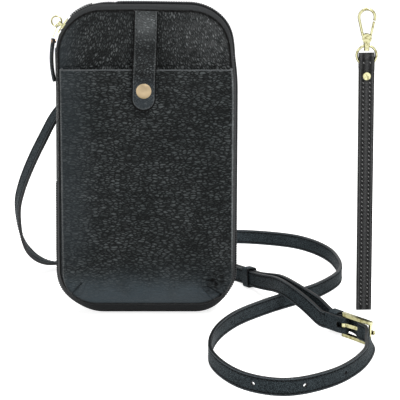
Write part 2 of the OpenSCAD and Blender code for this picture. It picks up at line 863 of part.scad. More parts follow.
module zip_slider() {
    a = slider_l / top_r * 90 / PI;
    color("#c9a55c") {
        arc_piece(top_r + plate_gap, plate_r, -slider_w / 2, slider_w / 2,
            slider_angle - a, slider_angle + a);
        arc_piece(top_r - teeth_h - plate_gap - inner_plate_t, top_r - teeth_h - plate_gap,
            -slider_w / 2, slider_w / 2, slider_angle - a, slider_angle + a);
        arc_piece(top_r - teeth_h - plate_gap - film, top_r + plate_gap + film,
            -core_half, core_half, slider_angle - core_half_angle, slider_angle + core_half_angle);
        for (m = [0, 1]) mirror([0, m, 0])
            arc_piece(plate_r - film, bar_mid_r + bar_r + lap, post_y, post_y + post_w,
                slider_angle - post_half_angle, slider_angle + post_half_angle);
        translate([arc_x + bar_mid_r * cos(slider_angle), 0, arc_z + bar_mid_r * sin(slider_angle)])
            rotate([90, 0, 0]) cylinder(h = 2 * (post_y + post_w / 2), r = bar_r, center = true);
    }
}

module pull_ring() {
    color("#d6b877") translate(ring_c) rotate([90, 0, 0])
        rotate_extrude() translate([ring_mid_r, 0]) circle(ring_wire);
}

// Hoop on the ring and the flat link down to the leather
module zip_pull_link() {
    color("#d6b877") {
        translate(hoop_c) rotate([0, 90, 0]) rotate_extrude() translate([hoop_r, 0]) circle(hoop_wire);
        rod(hoop_c - hoop_r * [0, sin(link_turn), cos(link_turn)], at_pull_top, hoop_wire);
    }
}

module at_pull() {
    translate(pull_c) rotate([0, 0, pull_yaw]) children();
}

module zip_pull_leather() {
    end_r = pull_w * pull_end_share;
    color("#26282d") at_pull() difference() {
        rotate([90, 0, 0]) translate([0, 0, -pull_t / 2]) {
            linear_extrude(pull_t)
                polygon([[-pull_w / 2, 0], [pull_w / 2, 0], [end_r - film, -pull_l + end_r],
                    [film - end_r, -pull_l + end_r]]);
            translate([0, -pull_l + end_r, 0]) cylinder(h = pull_t, r = end_r);
        }
        translate([0, 0, -pull_rivet_down]) rotate([90, 0, 0])
            cylinder(h = pull_w, r = pull_rivet_r / 2 + post_fit, center = true);
    }
}

module zip_pull_rivet() {
    l = pull_t + 2 * pull_head_t;
    color("#cf9a7a") at_pull() translate([0, 0, -pull_rivet_down]) rotate([90, 0, 0]) {
        cylinder(h = l, r = pull_rivet_r / 2, center = true);
        for (m = [0, 1]) mirror([0, 0, m])
            translate([0, 0, pull_t / 2]) cylinder(h = pull_head_t, r = pull_rivet_r);
    }
}

// Frame of the wristlet, which leans a little to the left
module at_wristlet() {
    translate([wristlet_x, 0, 0]) rotate([0, -wristlet_lean, 0]) children();
}

wristlet_half = wristlet_gap / 2 + wristlet_t;

// Strap folded flat at the foot and round the swivel ring at the top
module wristlet_strap() {
    eye_out = eye_half + eye_wall;
    eye_low = wristlet_h - eye_from;
    eye_high = wristlet_h - eye_to;
    color("#202226") at_wristlet() difference() {
        side_slab(-wristlet_w / 2, wristlet_w) difference() {
            union() {
                translate([0, wristlet_half]) circle(wristlet_half);
                polygon([[-wristlet_half, wristlet_half], [wristlet_half, wristlet_half],
                    [wristlet_half, eye_low - eye_blend], [eye_out, eye_low],
                    [eye_out, wristlet_h - eye_out], [-eye_out, wristlet_h - eye_out],
                    [-eye_out, eye_low], [-wristlet_half, eye_low - eye_blend]]);
                translate([0, wristlet_h - eye_out]) circle(eye_out);
            }
            translate([-wristlet_gap / 2, wristlet_half])
                square([wristlet_gap, eye_low - wristlet_half + over]);
            translate([0, wristlet_half]) circle(wristlet_gap / 2);
            translate([-eye_half, eye_low]) square([2 * eye_half, eye_high - eye_low - eye_half]);
            translate([0, eye_high - eye_half]) circle(eye_half);
        }
        translate([0, 0, wristlet_h - rivet_down]) rotate([90, 0, 0])
            cylinder(h = pouch_d, r = rivet_shaft_r + post_fit, center = true);
        translate([-wristlet_w, -over - eye_out, -over])
            cube([2 * wristlet_w, 2 * (over + eye_out), over + foot_cut]);
    }
}

module wristlet_rivet() {
    l = 2 * wristlet_half;
    color("#d6b877") at_wristlet() translate([0, 0, wristlet_h - rivet_down]) rotate([90, 0, 0]) {
        cylinder(h = l, r = rivet_shaft_r, center = true);
        for (m = [0, 1]) mirror([0, 0, m]) translate([0, 0, l / 2])
            cylinder(h = rivet_head_t, r = rivet_r);
    }
}

module wristlet_ring() {
    color("#d6b877") at_wristlet() difference() {
        union() {
            translate([0, 0, swivel_z]) rotate([90, 0, 0])
                rotate_extrude() translate([swivel_r, 0]) circle(swivel_wire);
            translate([0, 0, boss_z]) cylinder(h = boss_h, r = boss_r);
        }
        translate([0, 0, boss_z - over]) cylinder(h = boss_h + 2 * over, r = stem_r + stem_fit);
    }
}

// Ends of the hook's legs, seen from the front
leg_foot = [hook_leg_x, pin_z + hook_leg_up];
leg_top = [hook_r * cos(hook_leg_lean), hook_z - hook_r * sin(hook_leg_lean)];
leg_way = [sin(hook_leg_lean), cos(hook_leg_lean)];

module hook_rod(p, q, r) {
    rod([p[0], 0, p[1]], [q[0], 0, q[1]], r);
}

module snap_hook() {
    nose = leg_top - nose_l * leg_way;
    color("#d6b877") at_wristlet() {
        difference() {
            union() {
                translate([0, 0, boss_z - gap - button_h]) cylinder(h = button_h, r = button_r);
                translate([0, 0, boss_z - gap - button_h])
                    cylinder(h = pin_z - boss_z + gap + button_h - pin_r, r = stem_r);
                translate([0, 0, collar_z]) cylinder(h = collar_h, r = collar_r);
                translate([0, 0, pin_z]) rotate([90, 0, 0])
                    cylinder(h = base_t, r = base_r, center = true);
                mirror([1, 0, 0]) hook_rod(leg_foot, leg_top + lap * leg_way, hook_wire - film);
                translate([0, 0, hook_z]) rotate([90, 0, 0]) rotate([0, 0, -hook_leg_lean])
                    rotate_extrude(angle = 180 + 2 * hook_leg_lean)
                        translate([hook_r, 0]) circle(hook_wire);
                hook_rod(nose, leg_top + lap * leg_way, hook_wire - film);
            }
            translate([-pin_r * 2, -fork_half, pin_z - tongue_r - gap])
                cube([2 * base_r, 2 * fork_half, 2 * base_r]);
            translate([0, 0, pin_z]) rotate([90, 0, 0])
                cylinder(h = 2 * fork_half, r = tongue_r + gap, center = true);
            translate([0, 0, pin_z]) rotate([90, 0, 0])
                cylinder(h = 2 * base_t, r = pin_r, center = true);
        }
    }
}

module gate_pin() {
    color("#e0c48a") at_wristlet() translate([0, 0, pin_z]) rotate([90, 0, 0]) {
        cylinder(h = base_t, r = pin_r, center = true);
        for (m = [0, 1]) mirror([0, 0, m]) translate([0, 0, base_t / 2])
            cylinder(h = pin_head_t, r = pin_head_r);
    }
}

module hook_gate() {
    tip = leg_top - (nose_l + gate_gap) * leg_way;
    color("#d6b877") at_wristlet() difference() {
        union() {
            translate([0, 0, pin_z]) rotate([90, 0, 0])
                cylinder(h = 2 * tongue_half, r = tongue_r, center = true);
            hook_rod(tongue_r * gate_root + [0, pin_z], leg_foot, gate_wire);
            translate([leg_foot[0], 0, leg_foot[1]]) sphere(gate_wire + film);
            hook_rod(leg_foot, tip, gate_wire);
        }
        translate([0, 0, pin_z]) rotate([90, 0, 0])
            cylinder(h = 4 * tongue_half, r = pin_r + pin_fit, center = true);
    }
}

back_panel();
back_lining();
spine();
back_tape();
back_teeth();
zip_stops();
card_slot_1();
card_slot_2();
card_slot_3();
left_ring_tab();
right_ring_tab();
left_strap_ring();
right_strap_ring();
left_strap_end();
right_strap_end();
left_end_rivet();
right_end_rivet();
strap_long();
strap_short();
buckle_strap_end();
buckle_frame();
buckle_prong();
fixed_keeper();
loose_keeper();
front_panel();
front_lining();
front_tape();
front_teeth();
pocket_panel();
pocket_hem();
snap_stud();
stud_washer();
tab_strap();
snap_cap();
snap_socket();
zip_slider();
pull_ring();
zip_pull_link();
zip_pull_leather();
zip_pull_rivet();
wristlet_strap();
wristlet_rivet();
wristlet_ring();
snap_hook();
gate_pin();
hook_gate();
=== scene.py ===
# %% [markdown]
# # A phone pouch in pebbled leather
# The CAD frame gives every piece its place and every joint its axis. This lesson dresses
# that frame: the leather, the zip, the straps and the polished hardware. The frame is in
# metres, with +Z up and the front of the pouch facing -Y. Sizes of pieces are written in
# millimetres, and those of textures, camera and lamps in metres.

# %% Load the frame
import math

import bpy
from mathutils import Matrix, Vector, noise


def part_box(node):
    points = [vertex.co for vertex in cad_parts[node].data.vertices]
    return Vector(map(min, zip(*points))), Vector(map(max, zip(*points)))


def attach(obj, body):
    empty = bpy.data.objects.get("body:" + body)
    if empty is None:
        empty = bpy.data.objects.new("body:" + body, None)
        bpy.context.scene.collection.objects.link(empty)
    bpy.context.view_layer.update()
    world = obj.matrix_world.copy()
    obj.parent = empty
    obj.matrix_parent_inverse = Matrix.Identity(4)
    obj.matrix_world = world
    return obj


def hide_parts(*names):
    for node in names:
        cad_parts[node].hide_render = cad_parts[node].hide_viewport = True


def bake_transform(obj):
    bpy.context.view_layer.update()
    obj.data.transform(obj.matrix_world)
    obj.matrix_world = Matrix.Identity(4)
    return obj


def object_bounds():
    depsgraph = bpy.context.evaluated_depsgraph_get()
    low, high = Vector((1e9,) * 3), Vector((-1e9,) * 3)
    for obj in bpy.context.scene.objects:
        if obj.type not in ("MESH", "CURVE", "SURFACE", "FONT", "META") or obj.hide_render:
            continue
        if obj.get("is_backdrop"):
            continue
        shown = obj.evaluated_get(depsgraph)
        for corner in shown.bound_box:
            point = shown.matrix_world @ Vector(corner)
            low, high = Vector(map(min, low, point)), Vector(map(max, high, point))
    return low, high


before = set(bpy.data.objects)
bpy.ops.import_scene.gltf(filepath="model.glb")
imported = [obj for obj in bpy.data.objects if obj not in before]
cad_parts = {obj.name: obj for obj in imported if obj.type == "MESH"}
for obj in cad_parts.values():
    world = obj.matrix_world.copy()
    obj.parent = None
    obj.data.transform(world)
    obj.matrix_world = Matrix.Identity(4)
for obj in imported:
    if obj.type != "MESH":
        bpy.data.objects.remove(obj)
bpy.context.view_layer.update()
MM = 0.001

# %% [markdown]
# The photograph was taken with a long lens from 15 degrees above the table. A long lens a
# good way off keeps upright edges upright, so the camera stands 0.9 m from the pouch.

# %% Camera
LOOK_DOWN = 15
CAMERA_AWAY = 0.9
FOCAL_WIDTHS = 3.6492
AIM = Vector((32.051, 0, 71.556)) * MM
lens = bpy.data.cameras.new("photo_lens")
lens.sensor_width = 36
lens.lens = FOCAL_WIDTHS * lens.sensor_width
camera = bpy.data.objects.new("photo_camera", lens)
tilt = math.radians(LOOK_DOWN)
camera.location = AIM + CAMERA_AWAY * Vector((0, -math.cos(tilt), math.sin(tilt)))
camera.rotation_euler = (math.radians(90 - LOOK_DOWN), 0, 0)
bpy.context.scene.collection.objects.link(camera)
bpy.context.scene.camera = camera
print("camera at", [round(v, 3) for v in camera.location])

# %% [markdown]
# Soft shapes are sums of bells: a crease, a bulge or a spot of painted highlight is strongest
# in one place and fades out on both sides. Slow noise adds what no two hides have alike.

# %% Helpers for places and soft shapes


def mm(x, y, z):
    """A place given in millimetres."""
    return Vector((x, y, z)) * MM


def placed(x, y, z, degrees, axis):
    """The frame of a piece that stands at a place and is turned about one axis."""
    return Matrix.Translation(mm(x, y, z)) @ Matrix.Rotation(math.radians(degrees), 4, axis)


def clamped(share):
    return max(0, min(1, share))


def eased(share):
    return share * share * (3 - 2 * share)


def bell(value, middle, width, power=2):
    """1 at the middle, fading to 0 on both sides."""
    return math.exp(-((value - middle) / width) ** power)


def waver(x, z, size, seed):
    """Slow noise over a face, from about -1 to 1, with waves of a size."""
    return noise.noise(Vector((x / size, seed, z / size)))


def mirrored(shares):
    """Shares from -1 to 1, from their half that starts at 0."""
    return [-f for f in shares[:0:-1]] + shares


def run_of(places):
    """Distance from the first place to each place."""
    out = [0.0]
    for p, q in zip(places, places[1:]):
        out.append(out[-1] + (q - p).length)
    return out


def find_run(run, s, index=0):
    """The step of a line on which a distance along it falls, and the share of that step."""
    while index < len(run) - 2 and run[index + 1] < s:
        index += 1
    return index, (s - run[index]) / max(run[index + 1] - run[index], 1e-9)


def directions(places):
    """Direction of a line at each of its places."""
    behind, ahead = places[:1] + places[:-1], places[1:] + places[-1:]
    return [(q - p).normalized() for p, q in zip(behind, ahead)]


print("a bell one width from its middle:", round(bell(1, 0, 1), 2))

# %% [markdown]
# The crossbody strap is a flat leather cord, so it is a route first: a row of places, each
# with the direction of the strap's width where the strap doesn't stand on edge. The long
# part leaves the left ring, lies down on its edge, loops through the buckle and ends in a
# free tip. The short part runs from the right ring to the buckle. A smooth curve through
# the places keeps the bends soft.

# %% Routes of the strap
LONG_ROUTE = [
    (-42, 14, 141.9, -1, 0, 0), (-42, 14, 139, -1, 0, 0), (-48, 15, 131, -0.85, 0.5, 0.2),
    (-57, 16, 122, -0.38, 0.89, 0.23), (-66, 20, 106, -0.4, 0.87, 0.25),
    (-75, 27, 88, -0.4, 0.87, 0.3), (-82, 35, 71, -0.36, 0.85, 0.38),
    (-86, 43, 56, -0.34, 0.85, 0.4), (-86, 58, 31, -0.25, 0.88, 0.35),
    (-83, 67, 19, -0.15, 0.93, 0.2), (-76, 76, 9.5, 0, 0.97, -0.1), (-66, 84, 4.5, 0, 0.97, -0.26),
    (-47, 96, 3, 0, 0.95, -0.3), (-30, 106, 3.6, 0, 0.8, -0.6), (-10, 119, 4.8, 0, 0.4, -0.9),
    (12, 131, 5), (36, 141, 5), (59, 146, 5), (96, 136, 5), (110, 124, 5), (120, 107, 5),
    (125, 88, 5), (125, 55, 5), (109, 26, 5), (93, 10, 5), (79, -2, 5), (53.5, -31, 5),
    (40, -64, 5), (39, -98, 5), (56, -130, 5), (78, -139, 5), (105, -125, 5),
    (125, -96, 5, 0.1, 0, -1), (130.5, -74, 6, 0.5, 0, -0.86), (130.5, -67, 6.8, 0.3, 0, -0.95),
    (129, -62.5, 7.3), (126.2, -58.5, 7.3), (125.7, -51.7, 7.3), (123.4, -46.4, 7.3),
    (120.8, -43.3, 7.3), (116.7, -41, 7.3), (112.4, -36.1, 7.3), (109, -31.3, 9),
    (104.6, -25.8, 11.9), (98.5, -20.2, 14.7), (92.3, -12.6, 16.5), (87, -2.5, 16.8),
    (82.4, 11, 14.7), (76.7, 24.3, 11.3), (71.2, 34.6, 8.8), (65.7, 45.6, 7.3), (60.2, 56.6, 5.8),
    (53, 66.5, 5.2), (45, 75, 5), (38, 81, 5)]
SHORT_ROUTE = [
    (42, 14, 141.9, -1, 0, 0), (42, 14, 139, -1, 0, 0), (43, 17, 126, -0.9, 0.3, 0),
    (42, 24, 106, -0.6, 0.8, 0.1), (38, 33, 86, -0.2, 0.95, 0.2), (33, 43, 66, 0, 0.95, 0.25),
    (27, 52, 46, 0, 0.95, 0.25), (23, 59, 29, 0, 0.97, 0.2), (24, 66, 15, 0, 0.97, 0.1),
    (31, 70, 6.5, 0, 0.9, -0.4), (41, 69, 5.5, 0, 0.4, -0.9), (50.5, 63.5, 5), (58, 55.5, 5.5),
    (63.5, 44.5, 7), (69, 33.5, 8.5), (74, 22.5, 10.8), (79.4, 9.5, 13.9), (84.3, -4, 15.8),
    (90, -16, 15.3), (96.3, -25.4, 12.8), (101.4, -31.6, 9.6), (105.1, -35.9, 7.3),
    (107.7, -38.85, 7.3)]
ON_EDGE = (0, 0, -1)
ROUTE_STEP = 2
STRAP_W = 10 * MM
STRAP_T = 1.8


def smooth_route(route):
    """Places and width directions at even steps on one smooth curve through a route."""
    rows = [Vector(r[:3]) for r in route]
    turns = [Vector(r[3:] or ON_EDGE).normalized() for r in route]
    rows = [2 * rows[0] - rows[1], *rows, 2 * rows[-1] - rows[-2]]
    turns = [turns[0], *turns, turns[-1]]
    places, widths = [], []
    for i in range(1, len(rows) - 2):
        a, b, c, d = rows[i - 1:i + 3]
        knots = [0]
        for p, q in ((a, b), (b, c), (c, d)):
            knots.append(knots[-1] + max((q - p).length, 1e-6) ** 0.5)
        count = max(2, math.ceil((c - b).length / ROUTE_STEP))
        for k in range(count + (i == len(rows) - 3)):
            f = k / count
            t = knots[1] + (knots[2] - knots[1]) * f
            near = [p.lerp(q, (t - u) / (v - u)) for p, q, u, v in
                    zip((a, b, c), (b, c, d), knots, knots[1:])]
            mid = [near[j].lerp(near[j + 1], (t - knots[j]) / (knots[j + 2] - knots[j]))
                   for j in (0, 1)]
            places.append(mid[0].lerp(mid[1], f))
            widths.append(turns[i].lerp(turns[i + 1], eased(f)))
    widths = [(w - along * w.dot(along)).normalized() for w, along in zip(widths, directions(places))]
    return [p * MM for p in places], widths


long_line, long_width = smooth_route(LONG_ROUTE)
short_line, short_width = smooth_route(SHORT_ROUTE)
print("long strap part, m:", round(run_of(long_line)[-1], 3),
      "short strap part, m:", round(run_of(short_line)[-1], 3))

# %% [markdown]
# Materials come next, because each piece is made with its own. What several materials
# share is a node group, built once: leather pebbles, broad wrinkles and the slow change
# of tone that handling leaves. Each group takes a place on the object and gives values.

# %% Helpers for nodes


def feed(tree, node, links):
    """Gives a node's sockets, by name or number, their values or links."""
    for key, value in links.items():
        if isinstance(value, bpy.types.NodeSocket):
            tree.links.new(value, node.inputs[key])
        else:
            node.inputs[key].default_value = value


def add_node(tree, kind, links=None, **settings):
    node = tree.nodes.new(kind)
    for key, value in settings.items():
        setattr(node, key, value)
    feed(tree, node, links or {})
    return node


def maths(tree, operation, a, b=0.0, limited=False):
    links = {0: a, 1: b}
    return add_node(tree, "ShaderNodeMath", links, operation=operation, use_clamp=limited).outputs[0]


def plus(tree, a, b):
    return maths(tree, "ADD", a, b)


def minus(tree, a, b, limited=False):
    return maths(tree, "SUBTRACT", a, b, limited)


def times(tree, a, b):
    return maths(tree, "MULTIPLY", a, b)


def vector_maths(tree, operation, a, b):
    return add_node(tree, "ShaderNodeVectorMath", {0: a, 1: b}, operation=operation).outputs[0]


def scaled(tree, vector, scale):
    links = {0: vector, "Scale": scale}
    return add_node(tree, "ShaderNodeVectorMath", links, operation="SCALE").outputs[0]


def combined(tree, x, y, z):
    return add_node(tree, "ShaderNodeCombineXYZ", {0: x, 1: y, 2: z}).outputs[0]


def noise_at(tree, place, scale, detail, distortion=0.0):
    """The outputs of a noise texture: its value first, then its colour."""
    return add_node(tree, "ShaderNodeTexNoise", {"Vector": place, "Scale": scale, "Detail": detail,
                                                 "Distortion": distortion}).outputs


def ramp(tree, value, low, high, out_low=0.0, out_high=1.0):
    """Smooth step of a value between two levels."""
    links = {0: value, 1: low, 2: high, 3: out_low, 4: out_high}
    return add_node(tree, "ShaderNodeMapRange", links, interpolation_type="SMOOTHSTEP").outputs[0]


def new_group(name, values, results):
    """A node group that takes a place and values, with its given sockets and its end node."""
    group = bpy.data.node_groups.new(name, "ShaderNodeTree")
    sockets = group.interface
    sockets.new_socket("Place", in_out="INPUT", socket_type="NodeSocketVector")
    for label, value in values.items():
        socket = sockets.new_socket(label, in_out="INPUT", socket_type="NodeSocketFloat")
        socket.default_value = value
    for label in results:
        sockets.new_socket(label, in_out="OUTPUT", socket_type="NodeSocketFloat")
    return group, group.nodes.new("NodeGroupInput").outputs, group.nodes.new("NodeGroupOutput")


# %% [markdown]
# Pebbled leather is shrunken in the drum until its surface breaks into small cushions.
# Cells of a Voronoi texture have just that look: the distance to the nearest cell border
# is low in the crevices and high on the cushions. Noise bends the cells out of line, and
# they can fan out towards the top of the pouch.

# %% Group of leather pebbles
FAN_FROM = 0.15
BENDING = 0.0016
# The cushion output marks the cushion tops on which the leathers paint highlights.
pebbles, given, end = new_group(
    "leather_pebbles", {"Cell Width": 0.0016, "Cell Height": 0.0012, "Fullness": 0.35, "Fan": 0.0},
    ["Height", "Crevice", "Cushion Highlight"])
wander = noise_at(pebbles, given["Place"], 260.0, 2.0)["Color"]
push = scaled(pebbles, vector_maths(pebbles, "SUBTRACT", wander, (0.5, 0.5, 0.5)), BENDING)
bent = vector_maths(pebbles, "ADD", given["Place"], push)
axes = add_node(pebbles, "ShaderNodeSeparateXYZ", {0: bent}).outputs
above = maths(pebbles, "MAXIMUM", minus(pebbles, axes[2], FAN_FROM), 0.0)
spread = plus(pebbles, 1.0, times(pebbles, given["Fan"], above))
fanned = combined(pebbles, times(pebbles, axes[0], spread), axes[1], axes[2])
cell_size = combined(pebbles, given["Cell Width"], given["Cell Height"], given["Cell Height"])
cells_at = {"Vector": vector_maths(pebbles, "DIVIDE", fanned, cell_size), "Scale": 1.0}
cells = add_node(pebbles, "ShaderNodeTexVoronoi", cells_at, feature="DISTANCE_TO_EDGE").outputs
lots = add_node(pebbles, "ShaderNodeTexVoronoi", cells_at).outputs
lot = add_node(pebbles, "ShaderNodeSeparateColor", {0: lots["Color"]}).outputs[0]
cushion = add_node(pebbles, "ShaderNodeMapRange", {0: cells["Distance"], 1: 0.0, 2: given["Fullness"]},
                   interpolation_type="SMOOTHERSTEP").outputs[0]
pores = noise_at(pebbles, given["Place"], 2600.0, 3.0)[0]
feed(pebbles, end, {"Height": plus(pebbles, cushion, times(pebbles, pores, 0.22)),
                    "Crevice": minus(pebbles, 1.0, cushion, limited=True),
                    "Cushion Highlight": times(pebbles, cushion, lot)})
print("group", pebbles.name, "with", len(pebbles.nodes), "nodes")

# %% [markdown]
# The hide is also wrinkled more broadly, mostly from side to side, and some parts are
# rubbed smoother than others. Both are noise with a different stretch, so one group does
# both: it gives a wrinkle height and a slow tone that moves colour and gloss.

# %% Group of wrinkles and tone
wrinkles, given, end = new_group("leather_wrinkles", {"Length": 0.007, "Depth": 0.0022},
                                 ["Height", "Tone"])
fold_size = combined(wrinkles, given["Length"], given["Depth"], given["Depth"])
fold_at = vector_maths(wrinkles, "DIVIDE", given["Place"], fold_size)
folds = noise_at(wrinkles, fold_at, 1.0, 4.0, distortion=0.6)[0]
tone = noise_at(wrinkles, given["Place"], 38.0, 3.0)[0]
feed(wrinkles, end, {"Height": folds, "Tone": ramp(wrinkles, tone, 0.32, 0.68)})
print("group", wrinkles.name, "with", len(wrinkles.nodes), "nodes")

# %% [markdown]
# Woven tape and lining are threads that pass over and under each other. The sum of three
# products of sines is a lattice that looks woven on a surface that faces any way, which
# suits a tape that runs all round the rim.

# %% Group of a weave
weave, given, end = new_group("thread_weave", {"Pitch": 0.0006}, ["Height"])
turns_at = scaled(weave, given["Place"], maths(weave, "DIVIDE", math.tau, given["Pitch"]))
parts = add_node(weave, "ShaderNodeSeparateXYZ", {0: turns_at}).outputs
waves = [maths(weave, "SINE", part) for part in parts]
woven = times(weave, waves[0], waves[1])
for a, b in ((1, 2), (2, 0)):
    woven = plus(weave, woven, times(weave, waves[a], waves[b]))
feed(weave, end, {"Height": ramp(weave, woven, -1.2, 1.2)})
print("group", weave.name, "with", len(weave.nodes), "nodes")

# %% [markdown]
# Each finish is one material. The leather keeps one base colour that the tone moves a little;
# painted shade darkens its crevices and the valleys of its wrinkles, and painted highlights
# lighten the tops of its cushions. Masks painted on the meshes change it further: one paints
# highlights where a fold or an edge sticks out, one makes it smoother where it is drawn tight
# and gives it a painted bluish sheen there, and one darkens it with painted shade where it is
# pressed in, and with edge paint along the wristlet's outer edges.

# %% Materials of leather
MASKS = ("rub", "stretch", "crease")
# Shares and colours for the painted shade of crevices and wrinkle valleys, the tint of a painted bluish sheen
# where leather is drawn tight, and the black of painted shade in creases and of edge paint.
CREVICE_SHADE = 0.08
SHEEN_TINT = (1.0, 1.2, 1.45)
SHADE_AND_EDGE_BLACK = (0.001, 0.001, 0.001)


def new_material(name):
    """A material with its tree, its shader and the place on the object."""
    material = bpy.data.materials.new(name)
    material.use_nodes = True
    tree = material.node_tree
    place = tree.nodes.new("ShaderNodeTexCoord").outputs["Object"]
    return material, tree, tree.nodes["Principled BSDF"], place


def put_group(tree, group, place, **values):
    node = add_node(tree, "ShaderNodeGroup", node_tree=group)
    links = {key.replace("_", " "): value for key, value in values.items()}
    feed(tree, node, {"Place": place, **links})
    return node.outputs


def bump(tree, height, depth, strength, under=None):
    """A normal bent by a height; under is the normal that it starts from."""
    links = {"Height": height, "Distance": depth, "Strength": strength}
    if under is not None:
        links["Normal"] = under
    return add_node(tree, "ShaderNodeBump", links).outputs["Normal"]


def mix_colour(tree, factor, a, b):
    a, b = ((*v, 1) if isinstance(v, tuple) else v for v in (a, b))
    return add_node(tree, "ShaderNodeMix", {0: factor, 6: a, 7: b}, data_type="RGBA").outputs[2]


def tinted(colour, shares):
    return tuple(v * w for v, w in zip(colour, shares))


def leather(name, dark, light, highlight, cell, grain, wrinkle, rough, shine, fullness=0.35, fan=0.0,
            painted_glint=0.0, valley_shade_share=0.6):
    """A leather; cell is its pebbles' width and height, grain and wrinkle are depths in metres."""
    material, tree, shader, place = new_material(name)
    pebbly = put_group(tree, pebbles, place, Cell_Width=cell[0], Cell_Height=cell[1],
                       Fullness=fullness, Fan=fan)
    broad = put_group(tree, wrinkles, place)
    rub, stretch, crease = (add_node(tree, "ShaderNodeAttribute", attribute_name=mask).outputs["Fac"]
                            for mask in MASKS)
    kept = minus(tree, 1.0, times(tree, stretch, 0.8))
    # The crevices get painted shade, and the cushion tops get painted highlights in the highlight colour,
    # more where the highlight mask is painted.
    shade = times(tree, pebbly["Crevice"], kept)
    top = times(tree, times(tree, pebbly["Cushion Highlight"], kept),
                plus(tree, times(tree, rub, 2.2), painted_glint))
    # Painted shade in the valleys of the broad wrinkles.
    valley_shade = times(tree, ramp(tree, broad["Height"], 0.38, 0.58, valley_shade_share, 0.0), kept)
    crevice_shade = tinted(dark, (CREVICE_SHADE, CREVICE_SHADE, CREVICE_SHADE))
    colour = mix_colour(tree, broad["Tone"], dark, light)
    # Into the colour go the painted highlights, the painted shade, a painted bluish sheen where the leather
    # is drawn tight, and black for painted shade in creases and for edge paint.
    for factor, other in ((top, highlight), (valley_shade, crevice_shade), (times(tree, shade, 0.9), crevice_shade),
                          (times(tree, stretch, 0.6), tinted(dark, SHEEN_TINT)),
                          (rub, highlight), (crease, SHADE_AND_EDGE_BLACK)):
        colour = mix_colour(tree, factor, colour, other)
    gloss = plus(tree, times(tree, broad["Tone"], -0.08), rough)
    gloss = plus(tree, gloss, times(tree, shade, 0.35))
    gloss = plus(tree, gloss, times(tree, crease, 0.3))
    open_grain = times(tree, kept, minus(tree, 1.0, crease))
    normal = bump(tree, broad["Height"], wrinkle, 0.6)
    normal = bump(tree, times(tree, pebbly["Height"], open_grain), grain, 1.0, normal)
    feed(tree, shader, {"Base Color": colour, "Roughness": gloss, "Normal": normal,
                        "Specular IOR Level": shine})
    return material


pebbled = leather("pebbled_leather", (0.052, 0.061, 0.062), (0.080, 0.090, 0.092), (0.26, 0.28, 0.285),
                  cell=(0.0033, 0.0013), grain=0.0007, wrinkle=0.0024, rough=0.3, shine=0.09,
                  fullness=0.3, painted_glint=0.08)
pebbled_panel = leather("panel_leather", (0.054, 0.062, 0.063), (0.088, 0.098, 0.100),
                        (0.30, 0.31, 0.315), cell=(0.0015, 0.0027), grain=0.0007, wrinkle=0.0014,
                        rough=0.28, shine=0.12, fan=14.0, painted_glint=0.28)
tab_pebbled = leather("tab_leather", (0.046, 0.053, 0.055), (0.062, 0.070, 0.073), (0.26, 0.28, 0.285),
                      cell=(0.0018, 0.0014), grain=0.0005, wrinkle=0.0012, rough=0.32, shine=0.12,
                      painted_glint=0.16)
smooth = leather("strap_leather", (0.070, 0.091, 0.102), (0.082, 0.104, 0.117), (0.20, 0.225, 0.245),
                 cell=(0.0007, 0.0006), grain=0.00004, wrinkle=0.00012, rough=0.46, shine=0.06,
                 valley_shade_share=0.15)
black_smooth = leather("wristlet_leather", (0.016, 0.0165, 0.017), (0.026, 0.0265, 0.0275),
                       (0.15, 0.152, 0.155), cell=(0.0009, 0.0008), grain=0.0001, wrinkle=0.0003,
                       rough=0.5, shine=0.3)
print("leathers:", pebbled.name, pebbled_panel.name, tab_pebbled.name, smooth.name, black_smooth.name)

# %% [markdown]
# Cut edges are sealed with a thick dark paint. It is smooth, a little domed and glossier
# than the leather, with faint ripples where the brush or roller went along.

# %% Materials of edge paint, thread and cloth
PAINT_RIPPLE = 0.00008


def painted_edge(name, colour, rough):
    material, tree, shader, place = new_material(name)
    ripple = noise_at(tree, place, 900.0, 2.0)[0]
    feed(tree, shader, {"Base Color": mix_colour(tree, ripple, tinted(colour, (0.8, 0.8, 0.8)), colour),
                        "Roughness": ramp(tree, ripple, 0.3, 0.7, rough - 0.06, rough + 0.08),
                        "Normal": bump(tree, ripple, PAINT_RIPPLE, 0.5), "Specular IOR Level": 0.3})
    return material


def woven_cloth(name, dark, light, pitch, depth, rough, sheen, shine=0.5):
    material, tree, shader, place = new_material(name)
    threads = put_group(tree, weave, place, Pitch=pitch)["Height"]
    fuzz = noise_at(tree, place, 1500.0, 3.0)[0]
    raised = plus(tree, threads, times(tree, fuzz, 0.35))
    feed(tree, shader, {"Base Color": mix_colour(tree, threads, dark, light),
                        "Roughness": ramp(tree, fuzz, 0.2, 0.8, rough - 0.06, rough + 0.06),
                        "Normal": bump(tree, raised, depth, 0.7), "Specular IOR Level": shine,
                        "Sheen Weight": sheen, "Sheen Roughness": 0.4})
    return material


edge_paint = painted_edge("edge_paint", (0.006, 0.007, 0.008), 0.42)
